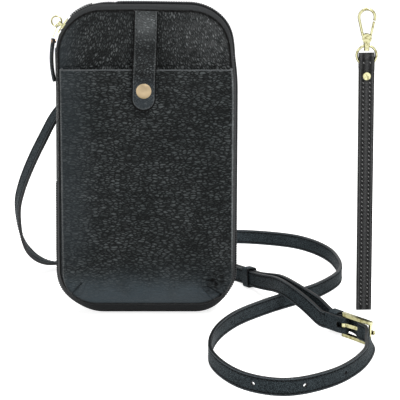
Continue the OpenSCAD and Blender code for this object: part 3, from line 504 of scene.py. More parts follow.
# The pocket's edge paint is paler than the other edge paint: partly edge paint, partly a painted highlight
# along the pocket's mouth and rims.
pocket_paint_and_highlight = painted_edge("pocket_edge_paint_and_highlight", (0.075, 0.082, 0.086), 0.4)
thread_black = woven_cloth("thread_black", (0.002, 0.0025, 0.003), (0.006, 0.007, 0.008),
                           pitch=0.0003, depth=0.00006, rough=0.6, sheen=0.05, shine=0.2)
thread_grey = woven_cloth("thread_grey", (0.16, 0.16, 0.16), (0.30, 0.30, 0.30),
                          pitch=0.0003, depth=0.00006, rough=0.6, sheen=0.1)
tape_cloth = woven_cloth("zip_tape", (0.016, 0.017, 0.018), (0.034, 0.036, 0.038),
                         pitch=0.0007, depth=0.00012, rough=0.62, sheen=0.02, shine=0.1)
lining_cloth = woven_cloth("lining_fabric", (0.03, 0.03, 0.034), (0.06, 0.06, 0.066),
                           pitch=0.0009, depth=0.0001, rough=0.75, sheen=0.15)
print("cloths:", tape_cloth.name, lining_cloth.name)

# %% [markdown]
# The hardware is zinc, plated pale gold and polished. Its flanks are painted darker and
# browner than its faces, a painted reflection of dark surroundings, and patches painted from
# noise darken it further as painted reflections. Polish is never even either: fine scratches
# run over it and fingers leave duller patches, so roughness follows a noise and a faint bump
# breaks the reflections. The zip's teeth are nylon, so matt and dark.

# %% Materials of metal and nylon
# Faces turned this way stay bright, and the flanks get a darker, browner tint as a painted reflection of dark
# surroundings.
BRIGHT_REFLECTION_FACING = (0.1, -0.8, 0.59)
DARK_REFLECTION_FLANK = (0.17, 0.155, 0.09)
SCRATCH_RUNS = (300.0, 900.0, 5000.0)
SCRATCH = 0.00001


def polished(name, colour, rough, dark_reflection_tint=(0.66, 0.62, 0.5)):
    material, tree, shader, place = new_material(name)
    smear = noise_at(tree, place, 420.0, 3.0)[0]
    scratches = noise_at(tree, vector_maths(tree, "MULTIPLY", place, SCRATCH_RUNS), 1.0, 2.0)[0]
    # Patches from noise get a darker tint, as painted reflections of a dark room.
    free_of_dark_reflection = ramp(tree, noise_at(tree, place, 520.0, 1.0)[0], 0.34, 0.56)
    outward = tree.nodes["Texture Coordinate"].outputs["Normal"]
    facing = add_node(tree, "ShaderNodeVectorMath", {0: outward, 1: BRIGHT_REFLECTION_FACING},
                      operation="DOT_PRODUCT").outputs["Value"]
    face = ramp(tree, maths(tree, "ABSOLUTE", facing), 0.2, 0.8)
    shade = mix_colour(tree, free_of_dark_reflection, tinted(colour, dark_reflection_tint), colour)
    # Painted dark reflection on the flanks.
    feed(tree, shader, {"Base Color": mix_colour(tree, face, tinted(colour, DARK_REFLECTION_FLANK), shade),
                        "Roughness": ramp(tree, smear, 0.3, 0.7, rough - 0.04, rough + 0.08),
                        "Normal": bump(tree, scratches, SCRATCH, 0.5), "Metallic": 1.0})
    return material


gold = polished("gold", (0.66, 0.64, 0.38), 0.17, dark_reflection_tint=(0.52, 0.49, 0.40))
cap_gold = polished("cap_gold", (0.43, 0.335, 0.21), 0.4, dark_reflection_tint=(0.95, 0.95, 0.95))
rose_gold = polished("rose_gold", (0.62, 0.40, 0.30), 0.24)
nylon = painted_edge("zip_teeth", (0.016, 0.017, 0.019), 0.48)
print("metals:", gold.name, cap_gold.name, rose_gold.name)

# %% [markdown]
# Most pieces of leather start as a thin sheet. Solidify gives the sheet its thickness and
# puts edge paint on the cut rim, and a small bevel rounds the cut. The modifiers are
# applied at once, so what rides on the frame is a plain mesh.

# %% Helpers for sheets of leather
BEVEL_ANGLE = math.radians(40)


def new_mesh(name, points, faces, materials, body, replaced=()):
    """A smooth-shaded mesh that rides on a body and stands for CAD nodes."""
    mesh = bpy.data.meshes.new(name)
    mesh.from_pydata([tuple(p) for p in points], [], faces)
    for material in materials:
        mesh.materials.append(material)
    mesh.polygons.foreach_set("use_smooth", [True] * len(mesh.polygons))
    mesh.update()
    piece = bpy.data.objects.new(name, mesh)
    bpy.context.scene.collection.objects.link(piece)
    if body:
        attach(piece, body)
    if replaced:
        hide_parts(*replaced)
    return piece


def grid_faces(rows, columns, closed=False, skip=None, flip=False):
    """Faces of a grid of points, row by row; closed joins the last column to the first."""
    faces = []
    for i in range(rows - 1):
        for j in range(columns - (0 if closed else 1)):
            if skip and skip(i, j):
                continue
            k = (j + 1) % columns
            face = (i * columns + j, i * columns + k, (i + 1) * columns + k, (i + 1) * columns + j)
            faces.append(face[::-1] if flip else face)
    return faces


def lidded_faces(rows, columns, flip=False):
    """Faces of a closed grid whose first and last rows are filled in."""
    first, last = tuple(range(columns)), tuple(range((rows - 1) * columns, rows * columns))
    lids = [first, last[::-1]] if flip else [first[::-1], last]
    return grid_faces(rows, columns, closed=True, flip=flip) + lids


def shifted(faces, base):
    return [tuple(base + v for v in face) for face in faces]


def thicken(piece, thickness, offset=0.0, rounding=0.0, segments=2, even=True):
    """Gives a sheet its thickness, in millimetres, with its rim in the second material if any."""
    solid = piece.modifiers.new("thickness", "SOLIDIFY")
    solid.thickness = thickness * MM
    solid.offset = offset
    solid.use_even_offset = even
    solid.material_offset_rim = 1 if len(piece.data.materials) > 1 else 0
    if rounding:
        bevel = piece.modifiers.new("rounding", "BEVEL")
        bevel.width = rounding * MM
        bevel.segments = segments
        bevel.limit_method = "ANGLE"
        bevel.angle_limit = BEVEL_ANGLE
        bevel.harden_normals = False
    graph = bpy.context.evaluated_depsgraph_get()
    made = bpy.data.meshes.new_from_object(piece.evaluated_get(graph))
    name = piece.data.name
    piece.modifiers.clear()
    piece.data = made
    made.name = name
    return piece


def paint_masks(piece, **masks):
    """Paints masks that the leather materials read, each a value for every point."""
    for mask, values in masks.items():
        layer = piece.data.attributes.new(mask, "FLOAT", "POINT")
        layer.data.foreach_set("value", values)


def band(name, rows, materials, body, replaced, closed=False, skip=None):
    """A sheet from rows of places across it; closed joins its last row to the first."""
    points = [p for row in rows for p in row]
    faces = [tuple(v % len(points) for v in face)
             for face in grid_faces(len(rows) + closed, len(rows[0]), skip=skip)]
    return new_mesh(name, points, faces, materials, body, replaced)


print("edges steeper than", round(math.degrees(BEVEL_ANGLE)), "degrees are rounded")

# %% [markdown]
# A stitch is a short length of waxed thread that comes up through one hole and goes down
# through the next. Each one here is a small bowed tube, a little askew, with both its ends
# under the surface, so that rows of them throw real highlights and shadows.

# %% Rows of stitches
THREAD_SIDES = 5
THREAD_RINGS = 4
STITCH_FACES = THREAD_SIDES * (THREAD_RINGS - 1) + 2
THREAD_ENDS = 0.55


def stitch_row(rows, pitch, length, radius, slant, lift):
    """Points and faces of stitches along rows; a row is a list of (place, outward)."""
    points, faces = [], []
    one_stitch = lidded_faces(THREAD_RINGS, THREAD_SIDES)
    for row in rows:
        run = run_of([p for p, _ in row])
        count = int(run[-1] / pitch)
        start = (run[-1] - count * pitch) / 2 + (pitch - length) / 2
        index = 0
        for k in range(count):
            ends = []
            for s in (start + k * pitch, start + k * pitch + length):
                index, f = find_run(run, s, index)
                ends.append((row[index][0].lerp(row[index + 1][0], f),
                             row[index][1].lerp(row[index + 1][1], f).normalized()))
            (a, up), (b, _) = ends
            side = up.cross((b - a).normalized()).normalized()
            askew = side * (length * math.tan(math.radians(slant)) / 2)
            faces += shifted(one_stitch, len(points))
            for r in range(THREAD_RINGS):
                f = r / (THREAD_RINGS - 1)
                bow = math.sin(math.pi * f)
                centre = a.lerp(b, f) + askew * (2 * f - 1) + up * (lift * bow - radius * (1 - bow))
                size = radius * (THREAD_ENDS + (1 - THREAD_ENDS) * bow)
                for q in range(THREAD_SIDES):
                    turn = math.tau * q / THREAD_SIDES
                    points.append(centre + side * (size * math.cos(turn)) + up * (size * math.sin(turn)))
    return points, faces


def sew(name, rows, body, pitch=3.0, length=2.2, radius=0.24, slant=8.0, lift=0.1,
        thread=thread_black):
    """Stitches along rows, with their sizes in millimetres and their slant in degrees."""
    points, faces = stitch_row(rows, pitch * MM, length * MM, radius * MM, slant, lift * MM)
    return new_mesh(name, points, faces, [thread], body)


print("a stitch has", STITCH_FACES, "faces")

# %% [markdown]
# The strap is the first leather piece. Its sheet is a grid with rows across the route and
# columns along it. Where the strap is punched, a square of the grid gives way to a ring of
# faces round a hole; where the prong passes, the cells are left out as one long slot.

# %% Sheet of a strap
ACROSS = mirrored([0.0, 1.0, 2.0, 2.9, 3.3, 3.7, 4.1, 4.5, 5.0])
GROOVE, RAISED_EDGE = 3.7, 4.5
ROW_STEP = 2 * MM
HOLE_COLUMN, HOLE_CELLS, HOLE_R = 6, 4, 1.1 * MM
PRONG_SLOT = (7, 8)
TINY = 1e-6


def strap_stations(length, holes):
    """Distances of the grid's rows along a strap, with a square of cells round each hole."""
    stations = [0.0]
    cuts = sorted(h * MM for h in holes)
    while stations[-1] < length - TINY:
        s = stations[-1] + ROW_STEP
        ahead = [c for c in cuts if stations[-1] < c - ROW_STEP + TINY / 10 < s + TINY / 10]
        if ahead:
            first = ahead[0] - ROW_STEP
            if first - stations[-1] > TINY:
                stations.append(first)
            stations += [first + k * MM for k in range(1, HOLE_CELLS + 1)]
            cuts.remove(ahead[0])
        else:
            stations.append(min(s, length))
    return stations


def strap_sheet(name, places, widths, holes, slot_cells, body, replaced):
    """A strap's sheet; holes are distances along it, slot_cells a pair of distances."""
    run = run_of(places)
    stations = strap_stations(run[-1], holes)
    points, spots, index = [], [], 0
    for s in stations:
        index, f = find_run(run, s, index)
        p = places[index].lerp(places[index + 1], f)
        w = widths[index].lerp(widths[index + 1], f).normalized()
        spots.append((p, w))
        points += [p + w * (t * MM) for t in ACROSS]
    columns, last, c = len(ACROSS), HOLE_CELLS, HOLE_COLUMN
    hole_rows = [next(i for i, s in enumerate(stations) if abs(s - (h * MM - ROW_STEP)) < TINY)
                 for h in holes]

    def gone(i, j):
        if any(r <= i < r + last and c <= j < c + last for r in hole_rows):
            return True
        mid = (stations[i] + stations[i + 1]) / 2
        return bool(slot_cells) and slot_cells[0] * MM < mid < slot_cells[1] * MM and j in PRONG_SLOT

    faces = grid_faces(len(stations), columns, skip=gone)
    for r in hole_rows:
        steps = range(last)
        square = ([(r, c + k) for k in steps] + [(r + k, c + last) for k in steps]
                  + [(r + last, c + last - k) for k in steps] + [(r + last - k, c) for k in steps])
        square = [i * columns + j for i, j in square]
        centre, w = spots[r + 2]
        along = (spots[r + 3][0] - spots[r + 1][0]).normalized()
        first = len(points)
        for v in square:
            away = points[v] - centre
            turn = math.atan2(away.dot(along), away.dot(w))
            points.append(centre + (w * math.cos(turn) + along * math.sin(turn)) * HOLE_R)
        for k in range(len(square)):
            n = (k + 1) % len(square)
            faces.append((square[k], square[n], first + n, first + k))
    piece = new_mesh(name, points, faces, [smooth, edge_paint], body, replaced)
    rest = [0.0] * (len(points) - len(stations) * columns)
    # Painted shade along the stitch grooves, and a painted highlight along the raised edges.
    groove_shade_and_edge = [bell(abs(t), GROOVE, 0.45) for t in ACROSS]
    rubbed = [0.4 if abs(t) == RAISED_EDGE else 0.0 for t in ACROSS]
    paint_masks(piece, crease=groove_shade_and_edge * len(stations) + rest, rub=rubbed * len(stations) + rest)
    thicken(piece, STRAP_T, rounding=0.4)
    return piece, spots


def nearest_run(places, x, y):
    """Distance along a route, in millimetres, at its place nearest to a spot on the floor."""
    away = [(p.x - x * MM) ** 2 + (p.y - y * MM) ** 2 for p in places]
    return run_of(places)[away.index(min(away))] / MM


HOLES_AT = ((62, -133), (88, -135), (113, -120))
SLOT_AT, SLOT_REACH = (125.7, -51.7), (-4.6, 3.6)
strap_holes = [nearest_run(long_line, x, y) for x, y in HOLES_AT]
slot_ends = [nearest_run(long_line, *SLOT_AT) + reach for reach in SLOT_REACH]
long_strap, long_spots = strap_sheet("crossbody_strap_long", long_line, long_width, strap_holes,
                                     slot_ends, "pouch", ["strap_long"])
short_strap, short_spots = strap_sheet("crossbody_strap_short", short_line, short_width, [],
                                       None, "pouch", ["strap_short"])
print("strap holes at", [round(h) for h in strap_holes], "mm; faces:", len(long_strap.data.polygons))

# %% [markdown]
# The edge stitches of the strap are black on black and run 1.3 mm inside both edges, on
# both faces. The rows follow the same places and widths as the strap.

# %% Stitches of the strap
STITCH_INSET = 1.3 * MM


def strap_rows(spots):
    """Rows of places for stitches along both edges of both faces of a strap."""
    lines = directions([p for p, _ in spots])
    rows = []
    for side in (-1, 1):
        for face in (-1, 1):
            row = []
            for (p, w), along in zip(spots, lines):
                n = along.cross(w).normalized()
                row.append((p + w * (side * (STRAP_W / 2 - STITCH_INSET))
                            + n * (face * STRAP_T * MM / 2), n * face))
            rows.append(row)
    return rows


strap_sewing = [
    sew("crossbody_stitches_long", strap_rows(long_spots), "pouch", pitch=2.6, length=1.9),
    sew("crossbody_stitches_short", strap_rows(short_spots), "pouch", pitch=2.6, length=1.9)]
print("stitches on the strap:", sum(len(o.data.polygons) for o in strap_sewing) // STITCH_FACES)

# %% [markdown]
# The shell has one outline, drawn in by an inset at the sides, top and bottom. A spot on
# it is a part of the outline and a share of the way along that part, so the same spot can
# be found again at any inset, and lofts between insets never twist.

# %% Outline of the pouch
HALF_W, HEIGHT = 55.5, 193.5
TOP_R, BOTTOM_R = 30.0, 26.0
SEAM = (2.7, 3.9, 7.9)
HALF_D, PANEL_Y, LINING_Y = 9.5, 7.9, 7.1
SPINE_LOW, SPINE_HIGH = 85.0, 166.0
POCKET_TOP = 155.0
STATIONS = [(0.0, 0.4, 0.4, 0.0), (1.7, 0.4, 0.4, 0.0), (3.6, 1.0, 1.2, 0.0),
            (6.0, 1.89, 2.4, 3.63), (7.9, 2.7, 3.9, 7.9)]


def shrink(radius, inset):
    """A corner's radius as the outline draws in, slower towards the middle of the face."""
    return radius - inset if inset < 6 else max(0.4, (radius - 6) * (1 - (inset - 6) / 50))


def settled(x, z):
    """A place as the soft pouch has it: fuller low on the left, drawn in at the right."""
    left = 0.2 - 2.2 * clamped((140 - z) / 100) + 3.4 * bell(z, 0, 8.5)
    right = -0.45 - 1.9 * bell(z, 166, 13) - 1.1 * bell(z, 10, 10)
    share = 0.5 + x / (2 * HALF_W)
    rise = 0.7 * bell(x, -8, 32) * max(0, z - 150) / (HEIGHT - 150)
    return x + left * (1 - share) + right * share, z + rise


def on_outline(spot, insets):
    """(x, z) of a spot on the outline drawn in by (side, top, bottom), in millimetres."""
    part, f = spot
    side, top, bottom = insets
    w, z1 = HALF_W - side, HEIGHT - top
    rt, rb = shrink(TOP_R, (side + top) / 2), shrink(BOTTOM_R, (side + bottom) / 2)
    shoulder, foot = z1 - rt, bottom + rb
    lean = 180 - math.degrees(math.asin(clamped((SPINE_HIGH - z1 + rt) / rt)))
    arcs = {"top_left": (-w + rt, shoulder, rt, lean, 90),
            "top_left_low": (-w + rt, shoulder, rt, 180, lean),
            "top_right": (w - rt, shoulder, rt, 90, 0), "bottom_right": (w - rb, foot, rb, 0, -90),
            "bottom_left": (-w + rb, foot, rb, -90, -180)}
    lines = {"top": ((-w + rt, z1), (w - rt, z1)), "right": ((w, shoulder), (w, foot)),
             "bottom": ((w - rb, bottom), (-w + rb, bottom)),
             "left_low": ((-w, foot), (-w, SPINE_LOW)), "left_high": ((-w, SPINE_LOW), (-w, shoulder)),
             "pocket_right": ((w, POCKET_TOP), (w, foot)), "pocket_left": ((-w, foot), (-w, POCKET_TOP))}
    if part in arcs:
        x, z, r, a0, a1 = arcs[part]
        a = math.radians(a0 + (a1 - a0) * f)
        return settled(x + r * math.cos(a), z + r * math.sin(a))
    p, q = lines[part]
    return settled(p[0] + (q[0] - p[0]) * f, p[1] + (q[1] - p[1]) * f)


def spots_on(parts, closed=False):
    """Spots along named parts of the outline, each with its count."""
    spots = [(part, k / count) for part, count in parts for k in range(count)]
    return spots if closed else spots + [(parts[-1][0], 1.0)]


def insets_at(depth):
    """Insets of the tape at a distance from the middle plane, on a smooth curve."""
    for i in range(1, len(STATIONS) - 1):
        if depth <= STATIONS[i + 1][0]:
            break
    a, b, c = STATIONS[i - 1], STATIONS[i], STATIONS[i + 1]
    d = STATIONS[min(i + 2, len(STATIONS) - 1)]
    f = (depth - b[0]) / (c[0] - b[0])
    out = []
    for k in (1, 2, 3):
        m0 = (c[k] - a[k]) / (c[0] - a[0]) * (c[0] - b[0])
        m1 = (d[k] - b[k]) / (d[0] - b[0]) * (c[0] - b[0])
        v = ((2 * f - 3) * f * f + 1) * b[k] + eased(f) * c[k] \
            + f * (f - 1) ** 2 * m0 + f * f * (f - 1) * m1
        out.append(max(0.0, v))
    return out


def corner_turn(x, z):
    """Degrees round the top left corner, from the right."""
    return math.degrees(math.atan2(z - (HEIGHT - TOP_R), x + HALF_W - TOP_R))


TAPE_PARTS = [("top_left", 30), ("top", 24), ("top_right", 30), ("right", 50), ("bottom_right", 26),
              ("bottom", 40), ("bottom_left", 26), ("left_low", 28)]
RIM_PARTS = [("top_left", 24), ("top", 20), ("top_right", 30), ("right", 44), ("bottom_right", 30),
             ("bottom", 30), ("bottom_left", 30), ("left_low", 22), ("left_high", 26), ("top_left_low", 6)]
RIM_SPOTS = spots_on(RIM_PARTS, closed=True)


def board(name, facing, rings, insets, soft, material, body, replaced, inside):
    """A board of rings of the outline, each (draw, depth); inside where they go to the middle."""
    points = []
    for d, y in rings:
        for spot in RIM_SPOTS:
            x, z = on_outline(spot, [s + d for s in insets])
            points.append(mm(x, facing * (y + soft(x, z, d)), z))
    faces = lidded_faces(len(rings), len(RIM_SPOTS), flip=(facing < 0) != inside)
    return new_mesh(name, points, faces, [material], body, replaced)


print("outline corner to corner, mm:", 2 * HALF_W, HEIGHT)

# %% [markdown]
# The two panels are crowned boards of leather. Rings of the outline are drawn in step by
# step: the first ones turn over the edge, the rest cross the face, and noise lifts and
# sinks the face a little, as soft leather over a thin board does.

# %% Front and back panels
PANEL_EDGE = [(0, 0), (0, 0.6), (0.12, 0.92), (0.4, 1.15), (0.9, 1.32), (1.6, 1.44), (2.6, 1.54),
              (3.8, 1.61), (5, 1.66)]
PANEL_FACE = [6, 8, 10, 12, 14, 16.5, 19, 22, 25, 28, 31, 34, 37, 40, 43, 46, 49]
PANEL_RINGS = [(d, PANEL_Y + t) for d, t in PANEL_EDGE] + [(d, HALF_D + 0.1) for d in PANEL_FACE]
HIGHLIGHT_SPOT = (38, 176)


def panel(name, facing, body, replaced):
    def soft(x, z, d):
        return min(1, d / 4) * (0.1 * waver(x, z, 16, facing) + 0.06 * waver(x, z, 6, 3 + facing))

    piece = board(name, facing, PANEL_RINGS, SEAM, soft, pebbled_panel, body, replaced,
                  inside=False)
    spots = [(v.co.x / MM, v.co.z / MM) for v in piece.data.vertices]
    # The left side gets painted shade and is smoother with a painted sheen, the seam line gets painted shade,
    # and a patch near the top right corner gets painted highlights.
    plain_side = [bell(x, -52, 9) for x, _ in spots]
    seam_shade = [bell(d, 0.6, 1.0, 4) for d, _ in PANEL_RINGS for _ in RIM_SPOTS]
    highlight = [0.2 * max(0, 0.5 + waver(x, z, 3, 1)) * math.exp(-math.dist((x, z), HIGHLIGHT_SPOT) ** 2 / 420)
            for x, z in spots]
    paint_masks(piece, crease=[max(a, 0.3 * b) for a, b in zip(seam_shade, plain_side)],
                stretch=[0.5 * b for b in plain_side], rub=highlight)
    return piece


front_leather = panel("front_leather", -1, "front_cover", ["front_panel"])
panel("back_leather", 1, "pouch", ["back_panel"])
print("panel faces:", len(front_leather.data.polygons))

# %% [markdown]
# The slip pocket is one piece of leather that stands 6 mm proud. Its sides rise from the
# seam and turn over a crisp fold; two darts take up the slack at the bottom corners. The
# sheet is lofted from U-shaped rings, thickened, and bound along its mouth.

# %% Slip pocket
POCKET_PARTS = [("pocket_right", 70), ("bottom_right", 64), ("bottom", 40), ("bottom_left", 64),
                ("pocket_left", 70)]
POCKET_SPOTS = spots_on(POCKET_PARTS)
POCKET_Y = 15.55
POCKET_RISE = [(0.9, 8.95), (1.0, 9.8), (1.05, 10.8), (1.1, 11.9), (1.12, 13.0), (1.15, 13.9),
               (1.2, 14.55), (1.3, 14.95), (1.38, 15.12), (1.46, 15.22), (1.55, 15.3), (1.7, 15.38),
               (1.85, 15.43), (2.1, 15.48), (2.6, 15.53), (3.2, POCKET_Y)]
POCKET_ACROSS = [3.8, 4.4, 5, 5.6, 6.2, 6.8, 7.4, 8, 8.6, 9.2, 9.8, 10.5, 11.3, 12.2, 13.3, 14.6, 16,
                 18, 20, 22.5, 25, 28, 31, 34, 37, 40, 43, 46, 48]
DARTS = [((-46.8, 16.2), (-40.8, 22.9)), ((44.9, 16.0), (36.9, 21.2))]
RIDGE = 1.5
SNAP = (-1.3, 143.2)


def dart_at(x, z):
    """How far a dart draws the leather in at a spot, in millimetres, and how much painted shade it gets
    there.
    """
    depth, shade = 0.0, 0.0
    for (x0, z0), (x1, z1) in DARTS:
        dx, dz = x1 - x0, z1 - z0
        f = clamped(((x - x0) * dx + (z - z0) * dz) / (dx * dx + dz * dz))
        away = math.hypot(x - x0 - f * dx, z - z0 - f * dz)
        deep = 1 - 0.7 * f
        depth += 1.5 * deep * bell(away, 0, 0.8) - 0.45 * deep * bell(away, 2.0, 1.4)
        puckers = math.cos(away * 2.1 + 5 * f) * bell(away, 4, 3.5)
        depth += 0.3 * puckers * (1 if x > 0 else 0.6)
        # Painted shade along the dart's fold.
        shade = max(shade, min(1, 1.4 * (1 - 0.3 * f) * bell(away, 0, 0.95)))
    return depth, shade


def pocket_ring(d):
    """A ring of the pocket; its left side stands a little further in than its right."""
    ring = [on_outline(spot, (SEAM[0] + d, SEAM[1], SEAM[2] + d)) for spot in POCKET_SPOTS]
    return [(x + (1.4 + 0.9 * clamped((130 - z) / 90)) * max(0, -x / 52) ** 2, z) for x, z in ring]


def pocket_depth(x, z, d, y, draw):
    """Distance of the pocket from the middle plane: it sags, wavers and is drawn in by the darts."""
    free = min(1, d / 6)
    sag = 0.3 * bell(z, 34, 20) * free - 2.6 * bell(z, 7.9, 7) * min(1, d / 1.5)
    ease = 0.14 * waver(x, z, 14, 5) + 0.09 * waver(x, z, 5, 8)
    near_snap = math.exp(-((x - SNAP[0]) ** 2 + (z - SNAP[1]) ** 2) / 80)
    soft = sag + 0.2 * free * (1 - (x / 50) ** 2) + ease * free
    return y + soft * (1 - near_snap) - draw * min(1, d / 1.2)


def pocket_masks(x, z, d, y, shade):
    """The shares of painted highlight, stretch with painted sheen, and painted shade at a spot of the pocket.
    """
    # A painted highlight along the ridge where the side turns over.
    fold = bell(d, RIDGE, 0.14) * (0.5 + 0.4 * waver(x, z, 9, 11) + (0.3 if x > 0 else 0))
    rub = max(0.0, min(1.0, fold)) * clamped((z - 24) / 30)
    # The left side is smoother, with a painted sheen and painted shade; a low band is smoother with a painted
    # sheen.
    left_side = 0.38 * bell(x, -48, 12) * clamped((z - 20) / 30)
    low = bell(z, 12, 13) * (1 - 0.8 * math.exp(-((x - 43) / 8) ** 2 - ((z - 24) / 9) ** 2))
    stretch = min(1, max(left_side, low * (1.15 + 0.5 * waver(x, z, 11, 15))))
    # Painted shade in the wrinkles by the right dart, at the tucked foot of the ridge and on the low wall by
    # the seam.
    bunch = math.exp(-((x - 41) ** 2 + (z - 24) ** 2) / 70)
    tuck_shade = bell(d, RIDGE, 0.9) * clamped((26 - z) / 12)
    wrinkle_shade = bunch * (0.35 + 1.6 * waver(x + 0.5 * z, 2.2 * z, 3.2, 40))
    low_wall_shade = 0.9 * (14.6 - y) / 1.5
    return rub, stretch, min(1, max(shade, tuck_shade, low_wall_shade, 0.7 * left_side, wrinkle_shade))


def pocket_sheet():
    """The pocket, and the places where its rings end at the right and the left of its mouth."""
    rings = POCKET_RISE + [(d, POCKET_Y) for d in POCKET_ACROSS]
    points, masks = [], []
    for d, y in rings:
        for x, z in pocket_ring(d):
            draw, shade = dart_at(x, z)
            points.append(mm(x, -pocket_depth(x, z, d, y, draw), z))
            masks.append(pocket_masks(x, z, d, y, shade))
    n = len(POCKET_SPOTS)
    faces = grid_faces(len(rings), n)
    last = (len(rings) - 1) * n
    half = (n - 1) // 2
    faces += [(last + k, last + k + 1, last + n - 2 - k, last + n - 1 - k) for k in range(half - 1)]
    faces.append((last + half - 1, last + half, last + half + 1))
    piece = new_mesh("pocket_leather", points, faces, [pebbled, pocket_paint_and_highlight], "front_cover",
                     ["pocket_panel"])
    paint_masks(piece, **dict(zip(MASKS, zip(*masks))))
    return piece, points[::n], points[n - 1::n]


pocket, mouth_right, mouth_left = pocket_sheet()
thicken(pocket, 1.15, offset=-1.0, even=False)
print("pocket faces:", len(pocket.data.polygons))

# %% Binding of the pocket's mouth
BINDING_SIDES, BINDING_HALF_W, BINDING_HALF_T = 10, 0.68 * MM, 0.5 * MM
mouth = mouth_left + mouth_right[::-1]
mouth = [p for i, p in enumerate(mouth) if i == 0 or (p - mouth[i - 1]).length > 0.2 * MM]
mouth = [p + mm(0, 0.55, 0.05 * waver(p.x / MM, 0, 8, 4)) for p in mouth]
binding_points = []
for p, along in zip(mouth, directions(mouth)):
    up = Vector((0, 0, 1))
    up = (up - along * up.dot(along)).normalized()
    side = along.cross(up)
    for k in range(BINDING_SIDES):
        a = math.tau * k / BINDING_SIDES
        binding_points.append(p + side * (BINDING_HALF_W * math.cos(a)) + up * (BINDING_HALF_T * math.sin(a)))
# The binding takes the pale pocket edge paint, partly a painted highlight along the mouth.
new_mesh("pocket_edge_binding", binding_points, lidded_faces(len(mouth), BINDING_SIDES, flip=True),
         [pocket_paint_and_highlight], "front_cover", ["pocket_hem"])
print("pocket mouth, mm:", round(run_of(mouth)[-1] / MM, 1))

# %% [markdown]
# The zip tape is a woven band that curves from the panel's seam down to the teeth. It is
# lofted over the same outline. Both bands stop either side of the spine, and the front one
# draws back beside the slider, where the two halves of the zip part. The spine is a hinge
# of leather.

# %% Zip tapes and spine
TAPE_Y, PARTED_Y = 1.7, 5.2
PARTED_TURNS = (133, 154)
TAPE_SINK = 1.0
TAPE_ROWS = 13
TAPE_T, SPINE_T, TAPE_TUCK = 0.9, 0.95, 0.15


def tape_start(spot, facing):
    """Distance from the middle plane at which the tape begins."""
    turn = corner_turn(*on_outline(spot, (0, 0, 0)))
    parted = facing < 0 and spot[0] == "top_left" and PARTED_TURNS[0] < turn < PARTED_TURNS[1]
    return PARTED_Y if parted else TAPE_Y


def tape_insets(y):
    """The tape lies lower beside the teeth, which stand proud of it."""
    sink = TAPE_SINK * bell(y, TAPE_Y, 1.6)
    side, top, bottom = insets_at(min(y, PANEL_Y))
    return side + sink, top + sink, bottom + 0.35 * sink


def tape(name, facing, body, replaced):
    spots = spots_on(TAPE_PARTS)
    points = []
    for r in range(TAPE_ROWS):
        for spot in spots:
            start = tape_start(spot, facing)
            y = start + (PANEL_Y + TAPE_TUCK - start) * r / (TAPE_ROWS - 1)
            x, z = on_outline(spot, tape_insets(y))
            points.append(mm(x, facing * y, z))
    faces = grid_faces(TAPE_ROWS, len(spots), flip=facing < 0)
    piece = new_mesh(name, points, faces, [tape_cloth], body, replaced)
    return thicken(piece, TAPE_T, offset=-1.0)


back_tape = tape("back_tape_weave", 1, "pouch", ["back_tape"])
tape("front_tape_weave", -1, "front_cover", ["front_tape"])

spine_spots = spots_on([("left_high", 40), ("top_left_low", 10)])
spine_depths = [-y for y in (7.6, 7.1, 6.4, 5.6, 4.8, 3.9, 3.0, 2.0, 1.0)]
spine_depths = [7.95] + [-y for y in spine_depths] + [0] + spine_depths[::-1]
spine_points = []
for y in spine_depths:
    for spot in spine_spots:
        x, z = on_outline(spot, insets_at(max(TAPE_Y, min(abs(y), PANEL_Y))))
        spine_points.append(mm(x - 0.02 + 0.05 * waver(y, z, 6, 2), y, z))
spine = new_mesh("spine_leather", spine_points,
                 grid_faces(len(spine_depths), len(spine_spots), flip=True),
                 [pebbled, edge_paint], None, ["spine"])
thicken(spine, SPINE_T, offset=-1.0)
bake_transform(spine)
print("tape faces:", len(back_tape.data.polygons), "spine faces:", len(spine.data.polygons))

# %% [markdown]
# Nylon teeth are loops of one stiff thread, so each tooth is a small rounded rib that
# narrows to a nose. They stand 1.5 mm apart, all along the rim but for the spine, and both
# rows leave off at the slider, the front one first. The noses of the two rows reach past
# each other, but where the slider runs they leave its divider room, and where it stands at
# either end of its travel they lie low enough for its channel.

# %% Zip teeth
TOOTH_PITCH = 1.5
TOOTH_SECTIONS = [(2.1, 0.42, 0.25), (1.5, 0.46, 0.06), (0.95, 0.38, 0.04), (0.7, 0.38, 0.1),
                  (0.4, 0.34, 0.12), (-0.25, 0.33, 0.15), (-0.4, 0.22, 0.3)]
TOOTH_RING = [(-1, 0.15), (-0.75, 0), (0.75, 0), (1, 0.15), (1, 0.85), (0.75, 1), (-0.75, 1), (-1, 0.85)]
DIVIDER_ROOM = 0.45
SWEPT_X, SWEPT_Z = -14, 150
SLIDER_PIVOT = (-22, 160)
SLIDER_STANDS = (95, 145)
CHANNEL_R = 33.75
BARE_SPINE = 1.6


def rim_line():
    """Evenly spaced places along the rim, each (x, z, 0), and the rim's direction there."""
    spots = spots_on([(part, 6 * count) for part, count in TAPE_PARTS])
    places = [Vector((*on_outline(s, (0, 0, 0)), 0)) for s in spots]
    run = run_of(places)
    count = int(run[-1] / TOOTH_PITCH)
    out, index = [], 0
    for k in range(count):
        index, f = find_run(run, (k + 0.5) * run[-1] / count, index)
        a, b = places[index:index + 2]
        out.append((a.lerp(b, f), (b - a).normalized()))
    return out


def tooth_sink(x, z):
    """How far a tooth lies below the rim, so that it passes through the slider's channel."""
    x, z = x - SLIDER_PIVOT[0], z - SLIDER_PIVOT[1]
    turn = math.degrees(math.atan2(z, x))
    under_slider = clamped(max((14 - abs(turn - stand)) / 3 for stand in SLIDER_STANDS))
    return max(0, math.hypot(x, z) - CHANNEL_R) * under_slider


